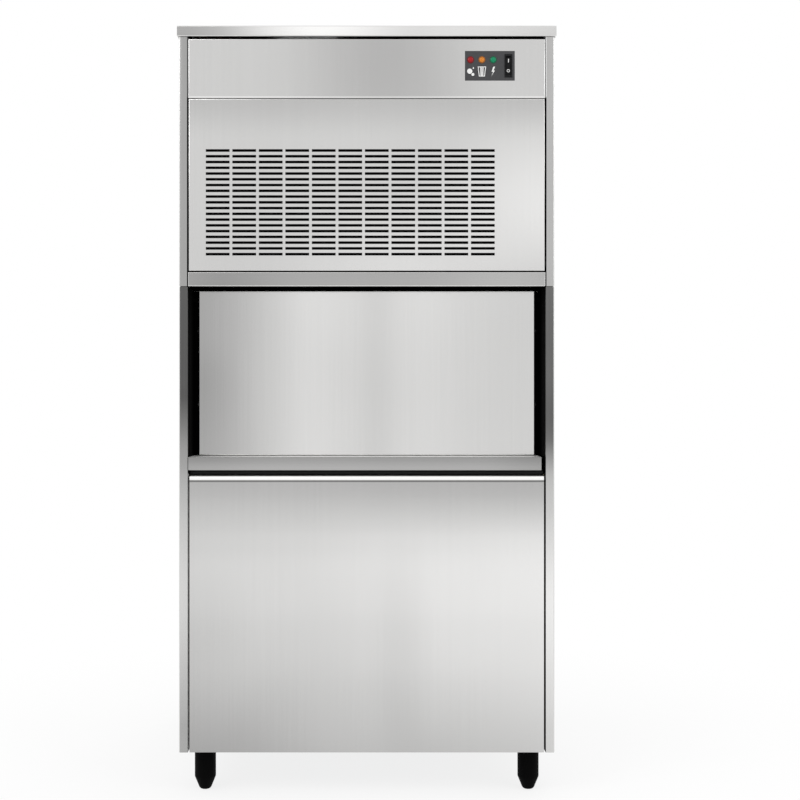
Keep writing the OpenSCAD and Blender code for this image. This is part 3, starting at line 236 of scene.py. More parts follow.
bm = bmesh.new()
bmesh.ops.create_grid(bm, x_segments=2, y_segments=2, size=FLOOR_SIZE / 2)
floor_mesh = bpy.data.meshes.new("floor")
bm.to_mesh(floor_mesh)
bm.free()
floor_mesh.materials.append(floor_finish)
link("floor", floor_mesh)


def soft_lamp(name, place, size, power):
    lamp = bpy.data.lights.new(name, "AREA")
    lamp.shape = "SQUARE"
    lamp.size = size
    lamp.energy = power
    holder = link(name, lamp)
    holder.location = place
    aim = LAMP_AIM - Vector(place)
    holder.rotation_euler = aim.to_track_quat("-Z", "Y").to_euler()


for name, values in LAMPS.items():
    soft_lamp(name, **values)
print("studio ready, lamps:", len(LAMPS))

# %% [markdown]
# ## Brushed steel
# The panels are stainless sheet with a directional polish: very fine lines along the grain.
# Broad soft patches of painted reflection, lighter or darker, stand in for the room the
# sheet would mirror. Noise stretched along one axis of the Object coordinates gives the
# lines. Each painted reflection is a soft round patch that lightens or darkens the steel,
# placed on the panel it belongs to.

# %% Brushed steel
GRAIN = {"upright": (900, 900, 5), "level": (5, 900, 900), "even": (60, 60, 60)}
STEEL_TINT = (1.0, 0.995, 0.985)
FINE_SHARE = 0.7
LINE_TONE = 0.06
PATCH_TONE = 0.07
LINE_GLOSS = 0.15
LINE_BUMP = 0.12
LINE_DEPTH = 0.0002


def painted_reflection(pen, place, reflection):
    x, z, wide, tall, gain = reflection
    centred = pen.node("ShaderNodeVectorMath", {"operation": "SUBTRACT"},
                       {0: place, 1: (x, 0, z)})
    scaled = pen.node("ShaderNodeVectorMath", {"operation": "MULTIPLY"},
                      {0: centred, 1: (1 / wide, 0, 1 / tall)})
    reach = pen.node("ShaderNodeVectorMath", {"operation": "LENGTH"}, {0: scaled}, out="Value")
    return between(pen, reach, 0.0, 1.0, gain, 0.0)


def steel_lines(pen, place, grain):
    fine = noise(pen, place, GRAIN[grain], 3.0, 0.6)
    broad = noise(pen, place, [s / 9 for s in GRAIN[grain]], 2.0)
    return fine * FINE_SHARE + broad * (1 - FINE_SHARE)


def brushed_steel(name, grain, tone, reflections=(), rough=0.2, where=None):
    """Steel with a tone, or a function for one, and painted reflection patches, everywhere or
    where a mask says.
    """
    material, pen, shader = new_finish(name, Metallic=1.0)
    place = object_place(pen)
    lines = steel_lines(pen, place, grain)
    value = (lines - 0.5) * LINE_TONE + (noise(pen, place, (4, 4, 4)) - 0.5) * PATCH_TONE
    value = value + (tone(pen, place) if callable(tone) else tone)
    mask = where(pen, place) if where else 1.0
    # Each patch is a painted reflection that lightens or darkens the base colour.
    for reflection in reflections:
        value = value + painted_reflection(pen, place, reflection) * mask
    feed(shader, "Base Color", tinted(pen, value, STEEL_TINT))
    feed(shader, "Roughness", (lines - 0.5) * LINE_GLOSS + rough)
    feed(shader, "Normal", pen.node("ShaderNodeBump", None, {
        "Height": lines, "Strength": LINE_BUMP, "Distance": LINE_DEPTH}))
    return material


# Both edge finishes are painted highlights: brighter steel on rounded folds, where light would
# catch them.
edge_steel = brushed_steel("painted_edge_highlight", "even", 0.70, rough=0.3)
bright_edge = brushed_steel("bright_edge", "even", 0.95, rough=0.3)
print("edge finishes", edge_steel.name, bright_edge.name)

# %% [markdown]
# ## Folded sheet
# CAD folds are knife sharp, and a real press brake leaves a small radius that catches light.
# A copy of each sheet is merged, its coplanar triangles are dissolved, and only the long
# outer folds are bevelled. The copy stands for the CAD node. Its new round faces may take a
# brighter steel: a painted highlight where the fold would catch the light.

# %% Round the folds of a copy
SHARP = radians(35)
STEADY = radians(2)
WIDE_SHARE = 20
ROOM = 2.2
MERGE = 1e-6
FLAT_ANGLE = radians(0.5)


def reach_from(face, edge):
    """How far a face goes from one of its edges."""
    a, b = (v.co for v in edge.verts)
    along = (b - a).normalized()
    return max(((v.co - a) - (v.co - a).dot(along) * along).length for v in face.verts)


def merged_copy(node):
    bm = bmesh.new()
    bm.from_mesh(nodes[node].data)
    bmesh.ops.remove_doubles(bm, verts=bm.verts, dist=MERGE)
    bmesh.ops.dissolve_limit(bm, angle_limit=FLAT_ANGLE, verts=bm.verts, edges=bm.edges)
    return bm


def long_folds(bm, radius, shortest, hollow):
    """Long sharp edges with room for the radius: the outer ones, or the hollow ones."""
    turn = -1 if hollow else 1
    return [e for e in bm.edges
            if e.is_manifold and turn * e.calc_face_angle_signed(0) > SHARP
            and e.calc_length() > shortest
            and min(reach_from(f, e) for f in e.link_faces) > ROOM * radius]


def soften(bm, edges, radius, steps, clamp=True):
    return bmesh.ops.bevel(bm, geom=edges, offset=radius, offset_type="OFFSET", segments=steps,
                           profile=0.5, affect="EDGES", material=-1, clamp_overlap=clamp)["faces"]


def crease(bm):
    """Smooth shading, but a wide flat face keeps its own normal next to a narrow one."""
    for face in bm.faces:
        face.smooth = True
    for edge in bm.edges:
        bend = edge.calc_face_angle(0)
        areas = [face.calc_area() for face in edge.link_faces] or [1.0]
        level = bend < STEADY or max(areas) < WIDE_SHARE * min(areas)
        edge.smooth = bend < SHARP and level


def piece(name, bm, body, finishes):
    """Turns a bmesh into an object at the origin that rides on a body."""
    crease(bm)
    mesh = bpy.data.meshes.new(name)
    bm.to_mesh(mesh)
    bm.free()
    for finish in finishes:
        mesh.materials.append(finish)
    made = link(name, mesh)
    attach(made, body)
    return made


def rounded_copy(node, finish, radius=1.2 * MM, shortest=20 * MM, edge=None, steps=3,
                 hollow=False):
    """Stands a copy with rounded folds for a CAD node; the folds may take an edge finish."""
    bm = merged_copy(node)
    for face in bm.faces:
        face.material_index = 0
    folds = long_folds(bm, radius, shortest, hollow)
    for face in soften(bm, folds, radius, steps, clamp=False):
        face.material_index = 1 if edge else 0
    bmesh.ops.dissolve_degenerate(bm, dist=MERGE, edges=bm.edges)
    copy = piece(node + "_dressed", bm, body_of[node], [finish] + ([edge] if edge else []))
    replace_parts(copy, node)
    print(node, "folds rounded:", len(folds))
    return copy


# %% [markdown]
# ## Cover, columns and side panels
# The cover is a folded tray with a level grain and a broad painted highlight on its front
# skirt. The side panels wrap round to a narrow front column. The lower columns are painted
# darker beside the door bay: painted shade from a ramp along Z on the front face alone. Left
# and right columns take different tones, as lit and shaded copies of one steel.

# %% Cover and sides
COLUMN_DEPTH = 1.6 * MM
SIDE_TONE = 0.53
FULL_HEIGHT = 3.0
# A painted reflection patch is written as x, z, width, height and gain. A stop is a share of the
# height and a tone.
COVER_REFLECTIONS = [(-0.07, 1.142, 0.16, FULL_HEIGHT, 0.34), (-0.28, 1.142, 0.14, FULL_HEIGHT, -0.20),
                (0.14, 1.142, 0.22, FULL_HEIGHT, 0.12)]
# Painted shade: the bin columns' front ramps darken towards the top, beside the door bay, the left
# one more.
LEFT_STOPS = [(0.0, 0.42), (0.08, 0.45), (0.33, 0.66), (0.50, 0.57), (0.60, 0.42), (0.67, 0.30),
              (0.75, 0.135), (0.80, 0.117), (0.9, 0.115), (1.0, 0.125)]
RIGHT_STOPS = [(0.0, 0.62), (0.08, 0.67), (0.33, 0.85), (0.50, 0.65), (0.60, 0.48), (0.67, 0.17),
               (0.82, 0.15), (1.0, 0.165)]


def front_only(pen, place):
    return between(pen, axis_of(pen, place, "Y"), FRONT + COLUMN_DEPTH, FRONT + 2 * COLUMN_DEPTH,
                   1.0, 0.0)


def up_ramp(pen, place, node, stops):
    """A tone that changes with the height inside a node's box."""
    low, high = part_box(node)
    up = pen.node("ShaderNodeMapRange", None, {"Value": axis_of(pen, place, "Z"),
                                               "From Min": low.z, "From Max": high.z})
    return pen.node("ShaderNodeValToRGB", {"stops": stops}, {0: up})


def side_sheen(pen, place):
    """Painted sheen: side sheets are painted lighter towards the front and darker low down."""
    along = between(pen, axis_of(pen, place, "Y"), -0.30, 0.25, 0.09, -0.07)
    return along + between(pen, axis_of(pen, place, "Z"), 0.05, 0.75, -0.06, 0.03) + SIDE_TONE


def head_side_shade(tone):
    def shade(pen, place):
        mask = front_only(pen, place)
        return mask * tone + (1 - mask) * side_sheen(pen, place)
    return shade


def bin_side_shade(stops):
    def shade(pen, place):
        mask = front_only(pen, place)
        column = up_ramp(pen, place, "bin_left_panel", stops)
        return column * mask + (1 - mask) * side_sheen(pen, place)
    return shade


cover_steel = brushed_steel("cover_steel", "level", 0.62, COVER_REFLECTIONS, where=front_only)
# The head columns' fronts take different tones, the left darker: lit and shaded copies of one
# steel, painted shade.
head_left_steel = brushed_steel("head_left_steel", "upright", head_side_shade(0.39))
head_right_steel = brushed_steel("head_right_steel", "upright", head_side_shade(0.48))
left_side_steel = brushed_steel("left_side_steel", "upright", bin_side_shade(LEFT_STOPS))
right_side_steel = brushed_steel("right_side_steel", "upright", bin_side_shade(RIGHT_STOPS))

rounded_copy("top_cover", cover_steel, 1.4 * MM, edge=edge_steel)
head_left = rounded_copy("head_left_panel", head_left_steel, edge=edge_steel)
head_right = rounded_copy("head_right_panel", head_right_steel, edge=edge_steel)
bin_left = rounded_copy("bin_left_panel", left_side_steel, edge=edge_steel)
bin_right = rounded_copy("bin_right_panel", right_side_steel, edge=edge_steel)

# %% [markdown]
# ## Front panels
# Fascia, grille, rail, door, sill and lower panel are separate folded sheets. Each one takes
# its own tone, ramps and patches of painted reflection, as each would mirror the room a little
# differently. The lower panel's rolled top edge gets a painted highlight band with a painted
# dark reflection line under it.

# %% Front panels
ROLL_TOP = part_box("lower_front_panel")[1].z
# The band is a painted highlight on the roll, and the line under it a painted dark reflection.
BAND_DEPTHS = (7.6 * MM, 6.8 * MM)
BAND_GAIN = 0.5
LINE_DEPTHS = (11.2 * MM, 9.6 * MM)
LINE_ENDS = (8.6 * MM, 7.6 * MM)
LINE_GAIN = -0.28
# The lean is a painted reflection that brightens the lower panel from left to right, fading out
# towards the top.
LEAN_SPAN = 0.40
LEAN_GAIN = 0.105
LEAN_FADE = (0.46, 0.36)
# The lower panel's ramp is painted reflection: darker at top and bottom, brightest a little above
# the middle.
LOWER_STOPS = [(0.0, 0.49), (0.26, 0.63), (0.48, 0.715), (0.63, 0.755), (0.72, 0.735),
               (0.80, 0.675), (0.91, 0.525), (1.0, 0.45)]
LOWER_REFLECTIONS = [(0.05, 0.22, 0.06, 0.24, -0.05), (-0.05, 0.07, 0.16, 0.13, 0.055),
                (-0.27, 0.24, 0.12, 0.14, -0.035)]
FASCIA_TONE = 0.61
# The hem along the fascia's front edge is painted brighter: a painted highlight.
HEM_DEPTHS = (0.6 * MM, 0.3 * MM)
HEM_GAIN = 0.18
FASCIA_REFLECTIONS = [(0.028, 1.10, 0.20, 0.30, -0.15)]
GRILLE_REFLECTIONS = [(0.0, 1.045, 3.0, 0.07, -0.115), (0.27, 0.89, 0.22, 0.155, 0.17),
                 (0.05, 0.79, 0.25, 0.12, 0.085)]
RAIL_REFLECTIONS = [(0.22, 0.772, 0.16, 0.3, 0.06), (-0.22, 0.772, 0.12, 0.3, -0.07)]
DOOR_REFLECTIONS = [(-0.26, 0.63, 0.17, FULL_HEIGHT, -0.27), (-0.26, 0.615, 0.09, 0.10, -0.04),
               (-0.08, 0.63, 0.06, FULL_HEIGHT, 0.03), (0.014, 0.63, 0.045, FULL_HEIGHT, -0.04),
               (0.085, 0.63, 0.07, FULL_HEIGHT, 0.022), (0.24, 0.63, 0.16, FULL_HEIGHT, -0.035),
               (0.0, 0.77, 0.30, 0.16, 0.03)]
# The sill is painted darker towards its top: painted shade.
SILL_STOPS = [(0.0, 0.43), (0.3, 0.415), (1.0, 0.32)]
SILL_REFLECTIONS = [(0.27, 0.497, 0.10, 1.0, -0.06), (-0.27, 0.497, 0.12, 1.0, -0.03)]


def under_roll(pen, height, start, full):
    """Rises from 0 to 1 between two depths under the top of the roll."""
    return between(pen, height, ROLL_TOP - start, ROLL_TOP - full)


def lower_shade(pen, place):
    height = axis_of(pen, place, "Z")
    band = under_roll(pen, height, *BAND_DEPTHS)
    line = (under_roll(pen, height, *LINE_DEPTHS)
            * (1 - under_roll(pen, height, *LINE_ENDS)))
    sheet = up_ramp(pen, place, "lower_front_panel", LOWER_STOPS)
    lean = between(pen, axis_of(pen, place, "X"), -LEAN_SPAN, LEAN_SPAN, -LEAN_GAIN, LEAN_GAIN)
    return (band * BAND_GAIN + line * LINE_GAIN + sheet
            + lean * between(pen, height, *LEAN_FADE))


def fascia_shade(pen, place):
    start, full = (FRONT - depth for depth in HEM_DEPTHS)
    hem = between(pen, axis_of(pen, place, "Y"), start, full, 1.0, 0.0)
    return hem * HEM_GAIN + FASCIA_TONE


def sill_shade(pen, place):
    return up_ramp(pen, place, "door_sill", SILL_STOPS)


# Each front panel is one steel with its own tone and patches: lit and shaded copies, painted
# reflection.
fascia_steel = brushed_steel("fascia_steel", "upright", fascia_shade, FASCIA_REFLECTIONS)
grille_steel = brushed_steel("grille_steel", "upright", 0.625, GRILLE_REFLECTIONS)
rail_steel = brushed_steel("rail_steel", "level", 0.41, RAIL_REFLECTIONS)
door_steel = brushed_steel("door_steel", "upright", 0.66, DOOR_REFLECTIONS, rough=0.11)
sill_steel = brushed_steel("sill_steel", "level", sill_shade, SILL_REFLECTIONS)
# The sill's top ledge is painted near white: a painted highlight where it faces up to the light.
ledge_steel = brushed_steel("ledge_steel", "level", 0.80, rough=0.6)
lower_steel = brushed_steel("lower_steel", "upright", lower_shade, LOWER_REFLECTIONS)

PANEL_FOLD = 0.9 * MM
LONGER_THAN_SLOTS = 200 * MM
fascia = rounded_copy("control_fascia", fascia_steel, PANEL_FOLD, edge=edge_steel)
grille = rounded_copy("grille_panel", grille_steel, PANEL_FOLD,
                      LONGER_THAN_SLOTS, edge=edge_steel)
rail = rounded_copy("front_rail", rail_steel, PANEL_FOLD, edge=edge_steel)
rounded_copy("door_skin", door_steel, edge=bright_edge)
sill = rounded_copy("door_sill", sill_steel, PANEL_FOLD)
rounded_copy("lower_front_panel", lower_steel, PANEL_FOLD)

# %% [markdown]
# ## Moulded plastic, rubber and paint
# Moulded parts have a faint orange-peel texture and slightly uneven gloss. One function
# makes them all from a colour, a roughness and the size of the grain.

# %% Moulded and painted finishes
PATCHES = (9, 9, 9)
PATCH_GLOSS = 0.2
SKIN_BUMP = 0.25


def moulded(name, colour, rough=0.45, grain=700, depth=0.0001, gloss=0.5, change=0.06):
    material, pen, shader = new_finish(name, Specular_IOR_Level=gloss)
    place = object_place(pen)
    skin = noise(pen, place, (grain,) * 3, 2.0)
    patch = noise(pen, place, PATCHES, 2.0)
    shift = (patch - 0.5) * change + (skin - 0.5) * change + 1.0
    feed(shader, "Base Color", tinted(pen, shift, colour))
    feed(shader, "Roughness", (patch - 0.5) * PATCH_GLOSS + rough)
    feed(shader, "Normal", pen.node("ShaderNodeBump", None, {
        "Height": skin, "Strength": SKIN_BUMP, "Distance": depth}))
    return material


black_plastic = moulded("black_plastic", (0.006, 0.006, 0.007), 0.55, gloss=0.15, change=0.4)
# bay_black is near black with almost no gloss: the colour of the parts in the door bay, and
# painted shade where the seam returns and undersides take it.
bay_black = moulded("bay_black", (0.003, 0.003, 0.003), 0.85, gloss=0.02, change=0.4)
foot_plastic = moulded("foot_plastic", (0.001, 0.001, 0.001), 0.6, gloss=0.04, change=0.4)
white_plastic = moulded("white_plastic", (0.78, 0.79, 0.78), 0.4)
ivory_plastic = moulded("ivory_plastic", (0.74, 0.70, 0.58), 0.45)
float_red = moulded("float_red", (0.55, 0.05, 0.03), 0.4)
control_grey = moulded("control_grey", (0.050, 0.050, 0.053), 0.5, gloss=0.3, change=0.25)
rubber = moulded("rubber", (0.012, 0.012, 0.012), 0.7, gloss=0.15, change=0.4)
foam_finish = moulded("foam", (0.62, 0.54, 0.34), 0.9, 260, 0.0006, 0.2, 0.2)
black_enamel = moulded("black_enamel", (0.012, 0.012, 0.013), 0.3, 500, change=0.3)
hose_plastic = moulded("hose_plastic", (0.66, 0.70, 0.71), 0.25)
print("moulded finishes ready")

# %% [markdown]
# ## Raw metals
# Galvanised sheet has a faint crystal spangle, which a Voronoi pattern gives. Copper pipe,
# brass, aluminium and the freezing cylinder's steel share one function: a colour with a
# slow stain over it and a fine grain.

# %% Raw metals
STAINS = (22, 22, 22)
STAIN_GLOSS = 0.3
GRAIN_TONE = 0.08
SPANGLE_SCALE = 110.0
SPANGLE_TINT = (0.97, 1.0, 1.02)
SPANGLE_TONE = 0.14
SPANGLE_ROUGH = (0.25, 0.45)


def raw_metal(name, colour, rough=0.35, stain=0.25, grain=(400, 400, 400)):
    material, pen, shader = new_finish(name, Metallic=1.0)
    place = object_place(pen)
    slow = noise(pen, place, STAINS, 3.0)
    fine = noise(pen, place, grain, 2.0)
    shift = (slow - 0.5) * stain + (fine - 0.5) * GRAIN_TONE + 1.0
    feed(shader, "Base Color", tinted(pen, shift, colour))
    feed(shader, "Roughness", (slow - 0.5) * STAIN_GLOSS + rough)
    return material


def galvanised_sheet(name, tone):
    material, pen, shader = new_finish(name, Metallic=1.0)
    place = object_place(pen)
    spangle = pen.node("ShaderNodeTexVoronoi", None,
                       {"Vector": place, "Scale": SPANGLE_SCALE}, out="Color")
    value = (axis_of(pen, spangle, "X") - 0.5) * SPANGLE_TONE + tone
    change, rough = SPANGLE_ROUGH
    feed(shader, "Base Color", tinted(pen, value, SPANGLE_TINT))
    feed(shader, "Roughness", (axis_of(pen, spangle, "Y") - 0.5) * change + rough)
    return material


galvanised = galvanised_sheet("galvanised", 0.46)
copper = raw_metal("copper", (0.72, 0.33, 0.19), 0.3)
brass = raw_metal("brass", (0.72, 0.52, 0.20), 0.3)
fin_metal = raw_metal("fin_metal", (0.07, 0.075, 0.08), 0.5)
cast_metal = raw_metal("cast_metal", (0.34, 0.35, 0.36), 0.5, 0.15)
auger_steel = raw_metal("auger_steel", (0.60, 0.60, 0.60), 0.25, 0.10)
print("raw metals ready")

# %% [markdown]
# ## Finishes for the solids that keep their CAD shape
# Most of the machinery sits inside the head and its CAD shape is already right, so these
# nodes only change their material.

# %% Dress the solids
PLAIN = {
    galvanised: ["head_back_panel", "bin_back_panel", "bottom_pan", "fan_shroud",
                 "fan_bracket", "electrical_box"],
    black_plastic: ["fan_rotor", "cable_gland"],
    bay_black: ["door_jambs", "hinge_pins"],
    rubber: ["door_gasket", "compressor_grommets"],
    white_plastic: ["ice_outlet", "ice_chute", "water_tank", "tank_lid", "bin_full_flap",
                    "drain_fitting"],
    ivory_plastic: ["float_valve"],
    float_red: ["float_arm"],
    fin_metal: ["condenser_fins"],
    copper: ["condenser_tubes", "discharge_pipe", "liquid_pipe", "suction_pipe", "filter_drier"],
    brass: ["water_inlet"],
    cast_metal: ["gear_motor", "fan_motor"],
    auger_steel: ["auger", "freezing_cylinder"],
    black_enamel: ["compressor"],
    foam_finish: ["bin_insulation", "cylinder_insulation"],
    hose_plastic: ["water_hose"],
}
for finish, members in PLAIN.items():
    for node in members:
        nodes[node].data.materials.clear()
        nodes[node].data.materials.append(finish)
print("plain solids dressed:", sum(len(m) for m in PLAIN.values()))

# %% [markdown]
# ## Dark seams
# The seams between the panels read as black lines, because the folded-back returns inside
# them see no light, so those returns are painted black: painted shade. A finish can be given
# to some faces only: a test on a face's normal and centre picks the returns. The painted shade
# stops beside the fascia and low on the left, where a lighter matt tone, set per seam, shows
# the gap as a softer grey line.

# %% Paint shade on the returns
def paint(copy, finish, test):
    copy.data.materials.append(finish)
    last = len(copy.data.materials) - 1
    picked = [face for face in copy.data.polygons if test(face)]
    for face in picked:
        face.material_index = last
    print(copy.name, "faces in", finish.name, len(picked))


FLAT = 0.98
RETURN_Y = FRONT + 2 * MM
RAIL_RETURN_Y = FRONT + 3 * MM
FOLD_Y = FRONT + 30 * MM
COLUMN_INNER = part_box("front_rail")[1].x + 2 * MM
FASCIA_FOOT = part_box("control_fascia")[0].z
SHADE_TONE = 0.003
SHADE_BLEND = 3 * MM


def seam_finish(name, end, below, above):
    """A matt seam whose tone changes at a height: black painted shade on one side, a set tone on
    the other.
    """
    material, pen, shader = new_finish(name, Roughness=0.85, Specular_IOR_Level=0.02)
    height = axis_of(pen, object_place(pen), "Z")
    tone = between(pen, height, end, end + SHADE_BLEND, below, above)
    feed(shader, "Base Color", tinted(pen, tone))
    return material


def inner_fold(face):
    return abs(face.center.x) < COLUMN_INNER and face.center.y < FOLD_Y


# Painted shade: each seam is black on one side of its height. On the other side a lighter tone,
# set per seam, lets the gap's own shade give the grey line, the head's left darker than its right.
head_left_seam = seam_finish("head_left_seam", FASCIA_FOOT, SHADE_TONE, 0.13)
head_right_seam = seam_finish("head_right_seam", FASCIA_FOOT, SHADE_TONE, 0.75)
bin_left_seam = seam_finish("bin_left_seam", ROLL_TOP, 0.90, SHADE_TONE)

deck = rounded_copy("head_deck", galvanised, 0.4 * MM)
# The head deck's front and under faces are painted black: painted shade under the head.
paint(deck, bay_black, lambda f: f.normal.y < -0.9 or f.normal.z < -0.9)
# The rail's top, bottom and return are painted black: painted shade in the gaps.
paint(rail, bay_black, lambda f: abs(f.normal.z) > FLAT or f.center.y > RAIL_RETURN_Y)
# The rail's lower rounded fold takes the bright edge: a painted highlight.
paint(rail, bright_edge, lambda f: -FLAT < f.normal.z < -0.2 and f.center.y < RAIL_RETURN_Y)
# The grille's and fascia's returns are painted black: painted shade in the seams.
paint(grille, bay_black, lambda f: f.center.y > RETURN_Y)
paint(fascia, bay_black, lambda f: f.center.y > RETURN_Y)
# Painted shade in the column seams: the inner folds take the seam finishes.
paint(head_left, head_left_seam, inner_fold)
paint(head_right, head_right_seam, inner_fold)
paint(bin_left, left_side_steel, inner_fold)
paint(bin_right, right_side_steel, inner_fold)
for column, seam in ((bin_left, bin_left_seam), (bin_right, bay_black)):
    paint(column, seam, lambda f: inner_fold(f) and abs(f.normal.x) > FLAT)
# The sill's upward faces take that painted highlight.
paint(sill, ledge_steel, lambda f: f.normal.z > FLAT)

# %% [markdown]
# ## Dark slot strip
# A black rubber bulb strip fills the slot over the lower panel, standing in for the shade in
# the slot: painted shade. A circle is extruded along X and its ends are closed.

# %% Dark slot strip
STRIP_R = 3.3 * MM
STRIP_BACK = 12 * MM
STRIP_STEPS = 20


def thicken(bm, run):
    """Extrudes every face along a vector, and turns the faces of the closed skin outwards."""
    made = bmesh.ops.extrude_face_region(bm, geom=list(bm.faces))
    moved = [v for v in made["geom"] if isinstance(v, bmesh.types.BMVert)]
    bmesh.ops.translate(bm, verts=moved, vec=run)
    bmesh.ops.recalc_face_normals(bm, faces=bm.faces)


slot_middle = (ROLL_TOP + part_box("door_sill")[0].z) / 2
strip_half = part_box("lower_front_panel")[1].x
stand = Matrix.Translation((-strip_half, FRONT + STRIP_BACK, slot_middle))
bm = bmesh.new()
bmesh.ops.create_circle(bm, cap_ends=True, segments=STRIP_STEPS, radius=STRIP_R,
                        matrix=stand @ Matrix.Rotation(radians(90), 4, "Y"))
thicken(bm, (2 * strip_half, 0, 0))
piece("slot_shade_strip", bm, "cabinet", [rubber])
print("slot shade strip", round(2 * strip_half, 4), "m long")

# %% [markdown]
# ## Feet
# The feet are black bullet feet on threaded studs. A merged copy with creased shading makes
# the turned surfaces smooth, and a small bevel softens the rims.

# %% Feet
RIM_ANGLES = (radians(20), radians(120))
RIM_ROUND = 0.7 * MM
for corner in ("front_left", "front_right", "rear_left", "rear_right"):
    node = "foot_" + corner
    bm = merged_copy(node)
    rims = [e for e in bm.edges if RIM_ANGLES[0] < e.calc_face_angle(0) < RIM_ANGLES[1]]
    soften(bm, rims, RIM_ROUND, 2)
    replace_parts(piece(node + "_dressed", bm, body_of[node], [foot_plastic]), node)
    print(node, "rims", len(rims))

# %% [markdown]
# ## Control plate
# A dark grey plate carries three lamps, a rocker switch and three printed pictograms. The
# plate and switch are rounded copies. Each lens is turned: a profile is spun about its axis.

# %% Plate and switch
rounded_copy("control_plate", control_grey, 0.3 * MM, 10 * MM)
rounded_copy("switch_housing", black_plastic, 0.3 * MM, 5 * MM)
rounded_copy("switch_rocker", black_plastic, 0.4 * MM, 5 * MM)

# %% [markdown]
# ## Lamps
# A lens is a shallow coloured dome with a stepped rim. Spinning a profile of eleven points
# gives the dome, the step and the holder behind in one closed skin.

# %% Lamp lenses
LENS_PROFILE = [(0.0, -1.55), (1.6, -1.45), (3.1, -1.15), (4.2, -0.65), (4.4, -0.45),
                (5.2, -0.45), (5.3, -0.25), (5.3, 0.0), (4.65, 0.0), (4.65, 9.0), (0.0, 9.0)]
LENS_STEPS = 32
FACET_SCALE = 900.0
FACET_TONE = 0.7
RIM_SPAN = (2.2 * MM, 5.3 * MM)
RIM_SHADE = 0.35


def lens_finish(name, colour, centre):
    """Coloured plastic with small facets, and painted shade that darkens it towards the rim."""
    material, pen, shader = new_finish(name, Coat_Weight=0.15, Coat_Roughness=0.1,
                                       Specular_IOR_Level=0.2)
    place = object_place(pen)
    facets = pen.node("ShaderNodeTexVoronoi", None, {"Vector": place, "Scale": FACET_SCALE}, out=0)
    offset = pen.node("ShaderNodeVectorMath", {"operation": "SUBTRACT"}, {0: place, 1: centre})
    flat = pen.node("ShaderNodeVectorMath", {"operation": "MULTIPLY"}, {0: offset, 1: (1, 0, 1)})
    away = pen.node("ShaderNodeVectorMath", {"operation": "LENGTH"}, {0: flat}, out="Value")
    # RIM_SHADE darkens the colour towards the rim: painted shade that gives the dome its round
    # look.
    shift = ((facets - 0.4) * FACET_TONE + 1.0) * between(pen, away, *RIM_SPAN, 1.0, RIM_SHADE)
    feed(shader, "Base Color", tinted(pen, shift, colour))
    feed(shader, "Roughness", facets * 0.2 + 0.2)
    return material


def spun(profile, axis_point, axis, across, steps):
    """Spins (radius, along) points in millimetres about an axis through axis_point."""
    bm = bmesh.new()
    points = [bm.verts.new(axis_point + across * r * MM + axis * a * MM) for r, a in profile]
    edges = [bm.edges.new(pair) for pair in zip(points, points[1:])]
    bmesh.ops.spin(bm, geom=points + edges, cent=axis_point, axis=axis, angle=2 * pi, steps=steps,
                   use_merge=True)
    bmesh.ops.remove_doubles(bm, verts=bm.verts, dist=MERGE)
    bmesh.ops.recalc_face_normals(bm, faces=bm.faces)
    return bm


RIGHT, BACK, UP = Vector((1, 0, 0)), Vector((0, 1, 0)), Vector((0, 0, 1))
LENS_COLOURS = {"red": (0.31, 0.004, 0.006), "amber": (0.57, 0.185, 0.018),
                "green": (0.0, 0.205, 0.09)}
for tint, colour in LENS_COLOURS.items():
    node = tint + "_lamp"
    low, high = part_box(node)
    centre = Vector(((low.x + high.x) / 2, FRONT, (low.z + high.z) / 2))
    bm = spun(LENS_PROFILE, centre, BACK, RIGHT, LENS_STEPS)
    glass = lens_finish(tint + "_glass", colour, centre)
    lens = piece(tint + "_lens", bm, body_of[node], [glass])
    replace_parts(lens, node)
    print(lens.name, [round(c, 4) for c in centre])

# %% [markdown]
# ## Printed marks
# White pictograms under the lamps say what each lamp means: ice, a full bin and power. They
# are generic signs, drawn as flat faces, given the thickness of a print and stood on the
# plate. The rocker's I and O are printed the same way on its two tilted halves.

# %% Draw a print
INK = 0.12 * MM
mark_white = moulded("mark_white", (0.80, 0.80, 0.79), 0.5, 1500, 0.00003)
PLATE_LOW, PLATE_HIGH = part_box("control_plate")


def printed(name, bm, x, y, z, body, tilt=0.0):
    """Thickens faces drawn in X and Y, and stands them up to face the front."""
    thicken(bm, (0, 0, INK))
    stand = Matrix.Translation((x, y, z)) @ Matrix.Rotation(radians(90 + tilt), 4, "X")
    bmesh.ops.transform(bm, matrix=stand, verts=bm.verts)
    made = piece(name, bm, body, [mark_white])
    print(name, "faces", len(made.data.polygons))


def disc(bm, x, y, radius, steps=28):
    bmesh.ops.create_circle(bm, cap_ends=True, segments=steps, radius=radius * MM,
                            matrix=Matrix.Translation((x * MM, y * MM, 0)))


def outline(bm, points):
    face = bm.faces.new([bm.verts.new((x * MM, y * MM, 0)) for x, y in points])
    face.normal_update()
    return face


# %% [markdown]
# Each pictogram sits under its lamp. The ice is two discs and a drop, the full bin is a tub
# with three bars, and power is a bolt. Numbers are millimetres from the middle of the sign.

# %% Pictograms on the plate
LAMP_X = [sum(c.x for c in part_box(tint + "_lamp")) / 2 for tint in LENS_COLOURS]
MARK_Z = PLATE_LOW.z + 16.5 * MM
TUB_RIM = 1.5 * MM
BAR_X = (-1.9, 0.0, 1.9)
BAR_HALF = 0.6
BAR_REACH = 6.2
TUB_TAPER = 0.75

ice = bmesh.new()
disc(ice, -1.2, 0.5, 3.9)
disc(ice, 3.5, -4.3, 2.2)
outline(ice, [(4.2, 7.2), (3.2, 5.2), (3.3, 4.4), (4.0, 3.9), (4.8, 4.1), (5.1, 4.8)])
printed("ice_mark", ice, LAMP_X[0], FRONT, MARK_Z, "cabinet")

